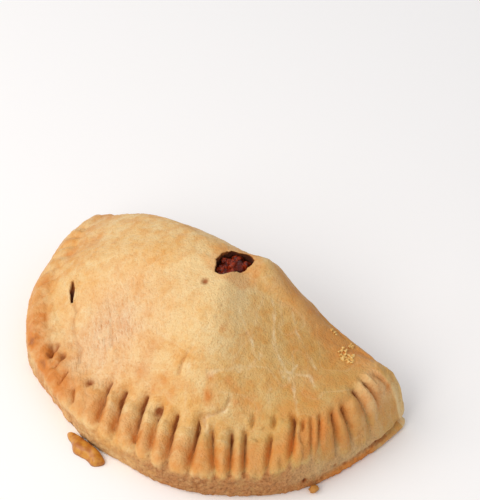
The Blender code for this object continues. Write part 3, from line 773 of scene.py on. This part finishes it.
# Each has two tones in blotches. A third may lie over them, by an attribute or where the blotches
# are lightest. A noise is size, detail, roughness and seed; relief is strength and height.
looks = {
    # dark beef gravy boiled down to a sticky glaze
    "boiled-down beef gravy": dict(
        tones=("#2E0A04", "#86240B", "#C65A1E"), blotch=(3.2, 3, 0.6, 4), over=(0.56, 0.76),
        bumps=(1.4, 3, 0.6, 9), relief=(0.6, 0.6),
        finish={"Roughness": 0.22, "IOR": 1.38, "Specular IOR Level": 0.3,
                "Coat Weight": 0.3, "Coat Roughness": 0.05}),
    # small pieces of stewed beef, coated in the gravy
    "stewed beef in gravy": dict(
        tones=("#461007", "#9C3413"), blotch=(0.9, 4, 0.6, 5), relief=(0.5, 0.4),
        finish={"Roughness": 0.4, "IOR": 1.38, "Specular IOR Level": 0.3,
                "Coat Weight": 0.1, "Coat Roughness": 0.1}),
    # egg wash and juice that ran down and baked on, amber with a satin skin
    "baked-on egg wash": dict(
        # the third, dark tone is a painted shadow of the crust's rim on the side against it, and darker
        # towards the floor
        tones=("#B06618", "#CC8C30", "#7A3D12"), blotch=(2.4, 3, 0.55, 6), over="scorch", relief=(0.3, 0.4),
        finish={"Roughness": 0.35, "IOR": 1.5, "Coat Weight": 0.12, "Coat Roughness": 0.2}),
    # dry golden flakes of pastry
    "dry pastry crumb": dict(
        tones=("#DBAA58", "#ECC67E", "#C08337"), blotch=(1.1, 2, 0.5, 8), over="plump", relief=(0.4, 0.3),
        finish={"Roughness": 0.7}),
}


def blotchyMaterial(name):
    look = looks[name]
    material, tree, shader, position = newMaterial(name, look["finish"])
    blotch = noiseField(position, *look["blotch"])
    color = mixed(blotch.ramp(0.35, 0.65), *look["tones"][:2])
    if "over" in look:
        over = look["over"]
        share = attributeField(tree, over) if isinstance(over, str) else blotch.ramp(*over)
        color = mixed(share, color, look["tones"][2])
    bumps = noiseField(position, *look["bumps"]) if "bumps" in look else blotch
    wire(tree, shader.inputs["Base Color"], color)
    wire(tree, shader.inputs["Normal"], bumpField(tree, *look["relief"], bumps))
    return material


pastryMaterial = bakedPastry()
gravyMaterial, meatMaterial, eggWashMaterial, crumbMaterial = [blotchyMaterial(name) for name in looks]
print("materials mixed")


def newTree(name, inputs):
    # a tree with named inputs, read with given("Name")
    tree = bpy.data.node_groups.new(name, "GeometryNodeTree")
    tree.interface.new_socket("Geometry", in_out="INPUT", socket_type="NodeSocketGeometry")
    for label, kind, value in inputs + [("Material", "Material", None)]:
        socket = tree.interface.new_socket(label, in_out="INPUT", socket_type="NodeSocket" + kind)
        if value is not None:
            socket.default_value = value
    tree.interface.new_socket("Geometry", in_out="OUTPUT", socket_type="NodeSocketGeometry")
    source = addNode(tree, "NodeGroupInput")

    def given(label):
        return Field(tree, source.outputs[label])

    return tree, given


def closeTree(tree, given, geometry):
    whole = field(tree, "GeometryNodeRealizeInstances", None, {"Geometry": geometry})
    coated = field(tree, "GeometryNodeSetMaterial", None, {"Geometry": whole, "Material": given("Material")})
    addNode(tree, "NodeGroupOutput", None, {0: coated})
    return tree


def runTree(piece, tree, values):
    # runs the tree on a piece and keeps the result as its plain mesh
    modifier = piece.modifiers.new(tree.name, "NODES")
    modifier.node_group = tree
    for item in tree.interface.items_tree:
        if item.in_out == "INPUT" and item.name in values:
            modifier[item.identifier] = values[item.name]
    graph = bpy.context.evaluated_depsgraph_get()
    shown = piece.evaluated_get(graph)
    mesh = bpy.data.meshes.new_from_object(shown, preserve_all_data_layers=True, depsgraph=graph)
    print(tree.name, "gave", len(mesh.vertices), "points")
    piece.modifiers.remove(modifier)
    piece.data = mesh
    mesh.name = piece.name


def storedField(tree, name):
    return field(tree, "GeometryNodeInputNamedAttribute", {"data_type": "FLOAT"}, {"Name": name})


def scaledField(vector, amount):
    return field(amount.tree, "ShaderNodeVectorMath", {"operation": "SCALE"}, {0: vector, "Scale": amount})


def moveOut(tree, geometry, rise, sink=None):
    # every point moves out along its normal, and down where it sinks
    offset = scaledField(field(tree, "GeometryNodeInputNormal"), rise)
    if sink:
        down = field(tree, "ShaderNodeCombineXYZ", None, {"Z": sink})
        offset = field(tree, "ShaderNodeVectorMath", {"operation": "SUBTRACT"}, {0: offset, 1: down})
    return field(tree, "GeometryNodeSetPosition", None, {"Geometry": geometry, "Offset": offset})


# One tine after another, by distance along the edge at its inner and at its outer end, how far in
# from the edge it reaches and starts, its depth, and the depth of the hole at its inner end.
forkTines = {
    "tines": [(9, 9, 7, 1, .7, 0), (15.6, 15.6, 8, 1, .8, .1), (22.2, 22.2, 8, 1, .9, .1),
              (29, 29, 8.5, 1, .9, .2), (37, 37, 8.5, 1, .8, .1), (44, 44, 9, 1, .9, .2),
              (51, 51, 8.5, 1, .8, .2),
              (111.4, 114.4, 14.6, -1.5, 2.3, .5), (118.2, 121.4, 14.3, -2, 2.7, .7),
              (126.6, 130.2, 15.6, -2, 2.7, .9), (134.1, 136.4, 15.6, -2, 1.9, 1.0),
              (141.4, 142.8, 15.1, -2.5, 2.7, .8), (151.1, 150.1, 15.6, -3, 2.8, .9),
              (156.7, 159.6, 14.1, -2.5, 2.1, .6), (164.1, 164, 13.8, -2, 2.5, .9),
              (169, 168.6, 13.9, -2, 2.3, .3), (173, 171.5, 18.3, 14.5, .6, .9),
              (178, 175.6, 11.1, -1, 2.2, .2), (181, 179.1, 16.2, 12.4, .8, .9),
              (187.4, 183.3, 13.5, -.5, 2.4, .6), (190.2, 189.3, 10.2, 7.2, 1.0, .4),
              (193.1, 191, 9.7, 0, .9, .1), (196.6, 194, 8.6, 1, 1.2, .4), (202, 201.5, 6.8, -.5, 2.2, .6),
              (206.5, 208.7, 6.6, -.5, 2.4, .9), (212.6, 217.3, 9.6, -.5, 2.3, .6),
              (219.8, 223.6, 9.8, 2.8, 2.5, .8), (229.6, 231, 8.9, 5.2, 1.3, .3)],
    "step": 0.25, "finger": 3.7,     # half of a finger's width, less where the tines are close
    "leastWidth": 1.4, "apartShare": 0.55,
    "puff": 1.1, "fullPuffAt": 1.5, "deeper": 1.02,
    "flat": 0.24, "archPower": 0.68,           # flat bottom of a groove, and the arch beside it
    "holeInset": 1.4, "holeLength": 1.5,
}


def tineLines():
    # the tines as rows of points in the edge's own plane: x along the edge, y in from it
    rows, depths, widths, puffs = [], [], [], []
    middles = np.array([(tine[0] + tine[1]) / 2 for tine in forkTines["tines"]])
    holeInset, holeLength = forkTines["holeInset"], forkTines["holeLength"]
    for number, (inner, outer, reach, start, depth, hole) in enumerate(forkTines["tines"]):
        share = np.linspace(0, 1, int((reach - start) / forkTines["step"]) + 2)
        inwards = start + (reach - start) * share
        rows.append(np.column_stack([outer + (inner - outer) * share, inwards, 0 * share]))
        depth = depth * forkTines["deeper"]
        deepest = depth * (0.7 * smoothStep(0, 0.3, share) + 0.3 * smoothStep(0.2, 0.8, share))
        depths.append(deepest + hole * np.exp(-((reach - holeInset - inwards) / holeLength) ** 2))
        apart = np.sort(np.abs(middles - middles[number]))[1]
        width = min(forkTines["finger"], max(apart * forkTines["apartShare"], forkTines["leastWidth"]))
        widths.append(np.full(len(share), width))
        puff = min(1.0, depth / forkTines["fullPuffAt"])
        puffs.append(puff * smoothStep(0, 0.3, share) * smoothStep(1, 0.75, share))
    lines = meshObject("tine_lines", np.concatenate(rows), [], None)
    for name, values in (("depth", depths), ("width", widths), ("puff", puffs)):
        setAttribute(lines, name, np.concatenate(values))
    return lines


def forkCrimps():
    # presses every vertex down by its distance from the nearest tine in the edge's plane
    tree, given = newTree("forkCrimps", [("Tines", "Object", None), ("Puff", "Float", 0.0005)])
    place = field(tree, "ShaderNodeCombineXYZ", None, {"X": storedField(tree, "alongEdge") * mm,
                                                      "Y": storedField(tree, "inFromEdge") * mm})
    rows = field(tree, "GeometryNodeObjectInfo", None, {"Object": given("Tines")}, "Geometry")
    nearest = field(tree, "GeometryNodeSampleNearest", {"domain": "POINT"},
                    {"Geometry": rows, "Sample Position": place})

    def sampled(kind, value):
        return field(tree, "GeometryNodeSampleIndex", {"data_type": kind, "domain": "POINT"},
                     {"Geometry": rows, "Value": value, "Index": nearest})

    where = sampled("FLOAT_VECTOR", field(tree, "GeometryNodeInputPosition"))
    gap = field(tree, "ShaderNodeVectorMath", {"operation": "DISTANCE"}, {0: where, 1: place}, "Value")
    gap = gap * (1.0 / mm)
    beside = (gap - forkTines["flat"]).math("MAXIMUM", 0.0)
    depth, width, puff = [sampled("FLOAT", storedField(tree, name)) for name in ("depth", "width", "puff")]
    # the dough between two tines is left round: a soft arch's height over its distance from the tine
    fromRidge = (1.0 - beside / width).clamped()
    arch = (1.0 - fromRidge * fromRidge).math("POWER", forkTines["archPower"])
    pressed = (1.0 - arch) * depth
    rise = arch * puff * given("Puff") - pressed * mm
    zone = storedField(tree, "zone")
    rise = rise * (zone.math("GREATER_THAN", 0.5) * zone.math("LESS_THAN", 3.5))
    kept = given("Geometry")
    for name, value in (("pressed", pressed), ("fromTine", gap)):
        kept = field(tree, "GeometryNodeStoreNamedAttribute", {"data_type": "FLOAT", "domain": "POINT"},
                     {"Geometry": kept, "Name": name, "Value": value})
    return closeTree(tree, given, moveOut(tree, kept, rise))


def doughGrain():
    # small unevenness of the skin, and the coarse crumb of the cut edge
    tree, given = newTree("doughGrain", [
        ("Skin Height", "Float", 0.0002), ("Crumb Height", "Float", 0.0007), ("Skin Size", "Float", 2.2),
        ("Crumb Size", "Float", 1.6), ("Pore Depth", "Float", 0.0006)])
    position = field(tree, "GeometryNodeInputPosition")
    wall = storedField(tree, "cutDough")

    def bumps(size, seed):
        grain = noiseField(position, size, 2.0, 0.55, seed, drift=(1, 0, 0))
        return grain.ramp(0.25, 0.75, -1.0, 1.0, "LINEAR")

    skin = bumps(given("Skin Size"), 1.0) * given("Skin Height")
    crumb = bumps(given("Crumb Size"), 2.0) * given("Crumb Height")
    crumb = crumb - bumps(given("Crumb Size"), 3.0).ramp(0.25, 0.6) * given("Pore Depth")
    rise = crumb * wall + skin * (1.0 - wall)
    rise = rise * storedField(tree, "zone").math("LESS_THAN", 4.5)
    return closeTree(tree, given, moveOut(tree, given("Geometry"), rise))


def paintBrowning(skin):
    # where the crust took colour, by its own measures; the shader only mixes finishes from these
    points = getPoints(skin) / mm
    places = points[:, :2]
    x, y, height = points.T
    zone, inwards, along, seam, pressed, fromTine, stain = [readAttribute(skin, name) for name in (
        "zone", "inFromEdge", "alongEdge", "seam", "pressed", "fromTine", "stain")]
    soft, coarse, fine = [unevenness(x, y, size, seed) for size, seed in browning["grains"]]
    # each finger ends in a rounded toe: beside the tines its browned top gives way further in
    forked = along > 60
    toe = 2.4 * np.exp(-(fromTine / 1.1) ** 2) * (inwards < 8) * forked
    measures = {
        "x": x, "y": y, "height": height, "zone": zone, "inwards": inwards, "along": along, "seam": seam,
        "pressed": pressed, "fromTine": fromTine, "forked": forked, "pastCorner": along > 40,
        "beforeTab": along < 224, "onFold": along < 0, "aboveBase": zone > 0.5,
        "edge": (zone > 0.5) & (zone < 2.9), "torn": (zone > 3.9) & (zone < 4.5),
        "fromCrown": np.hypot(x - crown[0], y - crown[1]), "fromFold": abs(y + 1), "slant": x + 0.4 * y,
        "toed": inwards - toe, "cutIn": inwards - 0.9 * toe + 1.2 * coarse,
        "unevenAlong": along + 6 * soft, "unevenHeight": height + coarse,
    }

    def terms(name):
        return [strength * math.prod(smoothStep(low, high, measures[key]) for key, low, high in steps)
                for strength, steps in regions[name]]

    def amount(name):
        return sum(terms(name))

    def spot(px, py, spread):
        return np.exp(-((x - px) ** 2 + (y - py) ** 2) / spread)

    browned = 0.12 * soft
    for px, py, radius, strength in browning["patches"]:
        patchy = 1 + 0.6 * coarse + 0.6 * fine
        browned = browned + browning["patchStrength"] * strength * spot(px, py, radius ** 2) * patchy
    browned = browned + amount("band") * (
        amount("fingers") + amount("tineSide") * (0.8 + 0.5 * coarse) + 0.1 * fine)
    browned = browned + amount("leftSide") * (1 + 0.5 * fine)
    # on the ridge and the back slope, the browning partly stands in as painted shade
    browned = browned + amount("ridge") * np.exp(-((y + 3) / 6) ** 2) + amount("browned")
    olive = amount("olive") * (1 + 0.3 * soft)
    # painted sheen: a painted pink highlight on the left of the dome
    px, py, radius, strength = browning["sheen"]
    rosy = strength * spot(px, py, radius ** 2) * (1 + 0.4 * coarse)
    # painted light: a paler patch in front of the crown
    px, py, spread, strength = browning["paler"]
    paler = strength * spot(px, py, spread)

    wander = 0.8 * unevenness(x, y, 3.5, 33) + 0.35 * unevenness(x, y, 1.2, 36)
    broken = 0.25 + 0.75 * smoothStep(-0.4, 0.4, unevenness(x, y, 2.2, 34))
    sparse = smoothStep(-0.1, 0.5, unevenness(x, y, 1.4, 35))
    bloom = np.zeros(len(x))
    for strength, path in browning["crackles"]:
        line = np.exp(-((toPath(places, path) + wander) / browning["crackleWidth"]) ** 2)
        bloom = np.maximum(bloom, browning["crackleStrength"] * strength * line * broken)
    for px, py, radius, strength in browning["stars"]:
        bloom = np.maximum(bloom, strength * spot(px, py, radius ** 2) * sparse)
    bloom = bloom * ((zone > 0.5) & (zone < 3.9))

    cut = amount("cut") * (1 - amount("uncut")) * amount("cutAlong") * (1 - amount("cutOnTab"))
    grey = browning["greyPatch"]
    greyPatch = spot(*grey["middle"], grey["across"]) * np.exp(-(height - grey["height"]) ** 2 / grey["up"])
    floury = 1.1 * np.clip(amount("tab"), 0, 1) * (1 + 0.4 * coarse)
    floury = np.maximum(floury, grey["strength"] * greyPatch)
    floury = np.maximum(floury, amount("flouryCut") * cut * (1 + 0.5 * coarse))
    cut = np.maximum(cut, amount("tornDough"))
    # the stain gathers real stains with painted shade in the grooves, the seam, the tear and at the foot
    stain = np.maximum.reduce([stain, amount("groove"), *terms("stain")])

    shares = {"olive": olive, "rosy": rosy, "bloom": bloom, "cutDough": cut, "floury": floury, "stain": stain}
    for name, values in shares.items():
        setAttribute(skin, name, np.clip(values, 0, 1))
    setAttribute(skin, "browned", browned)
    setAttribute(skin, "paler", paler)
    setAttribute(skin, "toasted", amount("toasted"))
    setAttribute(skin, "underside", amount("underside"))


doughRelief = {"skinHeight": 0.17, "skinSize": 2.4, "crumbHeight": 0.42, "crumbSize": 1.8, "poreDepth": 0.35}
tines = tineLines()
runTree(crustSkin, forkCrimps(), {"Tines": tines, "Puff": forkTines["puff"] * mm, "Material": pastryMaterial})
bpy.data.objects.remove(tines)
paintBrowning(crustSkin)
runTree(crustSkin, doughGrain(), {
    "Skin Height": doughRelief["skinHeight"] * mm, "Crumb Height": doughRelief["crumbHeight"] * mm,
    "Skin Size": doughRelief["skinSize"], "Crumb Size": doughRelief["crumbSize"],
    "Pore Depth": doughRelief["poreDepth"] * mm, "Material": pastryMaterial})
print("fork marks pressed and crust browned")


filling = {
    "gap": 0.35, "sink": 2.0, "slope": -0.35, "welling": 2.2, "wellingSpread": 0.05,
    "sideRings": (0, 0.5, 1), "roofRings": (0.15, 0.35, 0.65, 0.85, 1), "tearRings": np.linspace(0, 0.96, 22),
    "lumpSize": 2.6, "lumpHeight": 0.8, "shownWithin": (7.0, 5.5), "shownAbove": 30,
    "meatSize": (2.6, 5.6), "meatApart": 2.9, "meatForm": (1.0, 0.72, 0.55), "meatRoughness": 2.0,
    "meatSink": 0.9, "meatFineness": 4, "meatSeed": 4, "meatDensity": 900000.0, "meatBumps": 700.0,
}


def makeFilling(columns):
    c = everyNth(columns, pastry["innerStep"])
    gap = filling["gap"]
    rings = [innerRing(c, "side", value, gap) for value in filling["sideRings"]]
    rings += [innerRing(c, "roof", value, gap) for value in filling["roofRings"]]
    lip = crown + c["away"] * (c["tear"] - 2 * gap)[:, None]
    low, mound = roofHeight(c, lip) - gap, pastry["crownHeight"] - filling["sink"]
    for value in filling["tearRings"]:
        wall = low + filling["welling"] * smoothStep(0, filling["wellingSpread"], value)
        height = wall + (mound - wall) * smoothStep(filling["slope"], 1, value)
        rings.append((lip * (1 - value) + crown * value, height))
    rings = [np.column_stack(ring) for ring in rings]
    piece = joinRings("beef_filling", rings, (pastry["floorThick"] + gap, mound), gravyMaterial)
    x, y, z = (getPoints(piece) / mm).T
    lumps = unevenness(x, y, filling["lumpSize"], 41)
    lumps = lumps + 0.5 * unevenness(x, y, filling["lumpSize"] / 2, 42)
    inTear = smoothStep(*filling["shownWithin"], np.hypot(x - crown[0], y - crown[1]))
    inTear = inTear * (z > filling["shownAbove"])
    setPoints(piece, np.column_stack([x, y, z + filling["lumpHeight"] * lumps * inTear]) * mm)
    setAttribute(piece, "shown", inTear)
    return piece


def randomField(tree, kind, limits):
    node = addNode(tree, "FunctionNodeRandomValue", {"data_type": kind})
    for socket in node.inputs:
        if socket.enabled and socket.name in limits:
            wire(tree, socket, limits[socket.name])
    return Field(tree, [socket for socket in node.outputs if socket.enabled][0])


lumpInputs = [
    ("Smallest", "Float", 0.0005), ("Largest", "Float", 0.0013), ("Roughness", "Float", 0.0015),
    ("Bumps", "Float", 700.0), ("Sink", "Float", 0.0), ("Seed", "Int", 7)]


def roughLumps(tree, given, spots, fineness, form, turns, times=None):
    # lumps of random size and turn on the spots, roughened, and lowered by Sink
    lump = field(tree, "GeometryNodeMeshIcoSphere", None, {"Radius": 0.5, "Subdivisions": fineness})
    limits = {"Min": given("Smallest"), "Max": given("Largest"), "Seed": given("Seed")}
    size = randomField(tree, "FLOAT", limits)
    size = size * times if times else size
    placed = field(tree, "GeometryNodeInstanceOnPoints", None, {
        "Points": spots, "Instance": lump, "Rotation": randomField(tree, "FLOAT_VECTOR", turns),
        "Scale": scaledField(form, size)})
    whole = field(tree, "GeometryNodeRealizeInstances", None, {"Geometry": placed})
    bumps = field(tree, "ShaderNodeTexNoise", {"noise_dimensions": "3D"}, {
        "Vector": field(tree, "GeometryNodeInputPosition"), "Scale": given("Bumps"), "Detail": 2.0})
    return moveOut(tree, whole, (bumps - 0.5) * given("Roughness"), given("Sink"))


def meatPieces():
    # uneven pieces of meat, scattered over the part of the filling that shows
    tree, given = newTree("meatPieces", [("Apart", "Float", 0.0023)] + lumpInputs)
    spots = field(tree, "GeometryNodeDistributePointsOnFaces", {"distribute_method": "POISSON"}, {
        "Mesh": given("Geometry"), "Distance Min": given("Apart"), "Density Max": filling["meatDensity"],
        "Density Factor": storedField(tree, "shown"), "Seed": given("Seed")}, "Points")
    anyTurn = {"Max": (6.28, 6.28, 6.28)}
    lumps = roughLumps(tree, given, spots, filling["meatFineness"], filling["meatForm"], anyTurn)
    return closeTree(tree, given, lumps)


beefFilling = makeFilling(doughLines)
meatBits = addObject("beef_pieces", beefFilling.data.copy())
runTree(meatBits, meatPieces(), {
    "Apart": filling["meatApart"] * mm, "Smallest": filling["meatSize"][0] * mm,
    "Largest": filling["meatSize"][1] * mm, "Roughness": filling["meatRoughness"] * mm,
    "Bumps": filling["meatBumps"], "Sink": filling["meatSink"] * mm, "Seed": filling["meatSeed"],
    "Material": meatMaterial})
print("filling and", len(meatBits.data.vertices), "points of meat")


drip = {
    "place": 111, "length": 18.6, "width": 6, "height": 3, "gap": -0.5, "taper": 0.2,
    "wobble": 0.3, "wobbleSize": 4, "fullness": 0.9, "lumps": 0.12, "lumpSize": 2.4,
    # how dark the painted rim shadow and the foot are
    "meshLines": (96, 48), "rimShadowOnDrip": 0.9, "darkerAtFoot": 0.5,
}


def edgeAt(columns, distance):
    front = columns["front"]
    along = columns["along"][front]
    out = along2d(distance, along, columns["out"][front])
    return along2d(distance, along, columns["edgePoint"][front]), unit(out)


def makeDrip(columns):
    # a flat-bottomed bead that follows the foot of the edge, wider at one end
    bm = bmesh.new()
    segments, rings = drip["meshLines"]
    bmesh.ops.create_uvsphere(bm, u_segments=segments, v_segments=rings, radius=1.0)
    bm.verts.index_update()
    x, y, z = np.array([v.co for v in bm.verts]).T
    faces = [[v.index for v in face.verts] for face in bm.faces]
    bm.free()
    distance = drip["place"] + x * drip["length"] / 2
    at, out = edgeAt(columns, distance)
    wobble = drip["wobble"] * unevenness(distance, 0 * x, drip["wobbleSize"], 4)
    width = drip["width"] * (1 + drip["taper"] * x + wobble)
    place = at + out * (drip["gap"] + width * (1 + y) / 2)[:, None]
    height = drip["height"] * np.maximum(z, 0) ** drip["fullness"] * (1 + drip["taper"] * x)
    height = height * (1 + drip["lumps"] * unevenAt(place, drip["lumpSize"], 51))
    piece = meshObject("egg_wash_drip", np.column_stack([place, height]), faces, eggWashMaterial)
    # painted shadow of the crust's rim on the side against the crust, and darker towards the floor
    scorch = drip["rimShadowOnDrip"] * smoothStep(-0.35, -1, y)
    setAttribute(piece, "scorch", scorch + drip["darkerAtFoot"] * smoothStep(0.6, 0, height))
    return piece


eggWashDrip = makeDrip(doughLines)


crumbs = {
    "heaps": [(46.9, -5.6, 0.7), (45.4, -1.6, 0.9), (48.6, -2.9, 0.7), (46.3, -4.0, 0.8), (49.4, -5.0, 0.6),
              (44.6, 1.8, 0.6), (37.7, 1.3, 0.5)],           # x, y, spread
    "perHeap": 8, "size": (0.8, 2.1), "single": (63.0, -40.4, 1.2), "singleSize": 2.6, "seed": 7,
    "fineness": 3, "bumps": 1400.0, "roughness": 1.5, "lift": 0.05, "castFrom": 80,
    "turns": {"Min": (-0.2, 0.2, 0), "Max": (0.5, 0.9, 6.28)},
    "flatForm": (0.5, 0.32), "plumpForm": (0.85, 0.75),       # breadth and height to length
}


def crumbScatter():
    # flakes lie tilted on the given points, and the single crumb is plumper than they are
    tree, given = newTree("crumbScatter", lumpInputs)
    spots = field(tree, "GeometryNodeMeshToPoints", None, {"Mesh": given("Geometry")})
    plump = storedField(tree, "plump")
    forms = zip(crumbs["flatForm"], crumbs["plumpForm"])
    breadth, height = [plump.ramp(0, 1, flat, full) for flat, full in forms]
    form = field(tree, "ShaderNodeCombineXYZ", None, {"X": 1.0, "Y": breadth, "Z": height})
    scale = storedField(tree, "scale")
    return closeTree(tree, given, roughLumps(
        tree, given, spots, crumbs["fineness"], form, crumbs["turns"], scale))


def makeCrumbs(skin):
    rng = np.random.default_rng(crumbs["seed"])
    count = crumbs["perHeap"]
    spots = [np.column_stack([rng.normal(x, spread, count), rng.normal(y, spread, count)])
             for x, y, spread in crumbs["heaps"]]
    points = []
    for x, y in np.concatenate(spots):
        start = Vector((x, y, crumbs["castFrom"])) * mm
        hit, place, _, _ = skin.ray_cast(start, Vector((0, 0, -1)))
        if hit:
            points.append((x, y, place.z / mm + crumbs["lift"]))
    piece = meshObject("pastry_crumbs", points + [crumbs["single"]], [], None)
    setAttribute(piece, "scale", [1.0] * len(points) + [crumbs["singleSize"] / crumbs["size"][0]])
    setAttribute(piece, "plump", [0.0] * len(points) + [1.0])
    runTree(piece, crumbScatter(), {
        "Smallest": crumbs["size"][0] * mm, "Largest": crumbs["size"][1] * mm,
        "Roughness": crumbs["roughness"] * mm, "Bumps": crumbs["bumps"], "Seed": crumbs["seed"],
        "Material": crumbMaterial})
    return piece


pastryCrumbs = makeCrumbs(crustSkin)
print("drip and crumbs made")


# every piece is moved from the pie's own frame to the frame's, and rides on its body
low, high = [np.array(v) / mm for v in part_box("crust")]
shift = (low + high) / 2 - pieMiddle
shift[2] = 0
pieces = [crustSkin, beefFilling, meatBits, eggWashDrip, pastryCrumbs]
for piece in pieces:
    moved = getPoints(piece) + shift * mm
    moved[:, 2] = np.maximum(moved[:, 2], 0)
    setPoints(piece, moved)
    faceOut(piece)
    for face in piece.data.polygons:
        face.use_smooth = True
    piece.data.update()
    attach(piece, "root")
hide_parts("crust")
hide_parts("meat_filling")
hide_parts("baked_drip")
print("pieces placed by", [round(float(v), 2) for v in shift], "mm")


studio = {
    "azimuth": 40.5, "elevation": 44.5, "distance": 700, "target": (0, -30, 10), "aside": (18.2, 37.9),
    "lens": 149.9, "skyStrength": 0.61, "skyColor": "#FAFBFF",
    "floorColor": "#FEFEFE", "floorReach": 3000, "floorHeight": -0.05,
    "key": dict(azimuth=-50, elevation=46, distance=900, size=800, power=3.6, color="#FFF8F0"),
    "fill": dict(azimuth=8, elevation=38, distance=900, size=500, power=2.3, color="#FFF2E4"),
}


def fromAngles(azimuth, elevation):
    a, e = math.radians(azimuth), math.radians(elevation)
    return Vector((math.sin(a) * math.cos(e), -math.cos(a) * math.cos(e), math.sin(e)))


target = (Vector(studio["target"]) + Vector(shift)) * mm


def areaLight(name, setting):
    light = bpy.data.lights.new(name, "AREA")
    light.shape = "DISK"
    light.size = setting["size"] * mm
    light.energy = setting["power"]
    light.color = hexColor(setting["color"])[:3]
    lamp = addObject(name, light)
    aim = fromAngles(setting["azimuth"], setting["elevation"])
    lamp.location = target + aim * setting["distance"] * mm
    lamp.rotation_euler = aim.to_track_quat("Z", "Y").to_euler()


areaLight("key light", studio["key"])
areaLight("fill light", studio["fill"])

world = bpy.data.worlds.new("soft studio")
bpy.context.scene.world = world
world.use_nodes = True
sky = world.node_tree.nodes["Background"]
sky.inputs["Color"].default_value = hexColor(studio["skyColor"])
sky.inputs["Strength"].default_value = studio["skyStrength"]

floorFinish = {"Base Color": hexColor(studio["floorColor"]), "Roughness": 0.9}
floorMaterial = newMaterial("matt white paper", floorFinish)[0]
reach = studio["floorReach"]
corners = [(-reach, -reach), (reach, -reach), (reach, reach), (-reach, reach)]
floor = meshObject("paper_floor", [(x, y, studio["floorHeight"]) for x, y in corners],
                   [(0, 1, 2, 3)], floorMaterial)

camera = addObject("camera", bpy.data.cameras.new("camera"))
camera.data.lens = studio["lens"]
camera.data.clip_start = 0.01
toCamera = fromAngles(studio["azimuth"], studio["elevation"])
aside = Vector((*studio["aside"], -studio["distance"]))      # the picture's middle, seen from the camera
lean = Vector((0, 0, -1)).rotation_difference(aside)
camera.rotation_euler = (toCamera.to_track_quat("Z", "Y") @ lean).to_euler()
camera.location = target + toCamera * studio["distance"] * mm
bpy.context.scene.camera = camera
bpy.context.scene.view_settings.view_transform = "Standard"
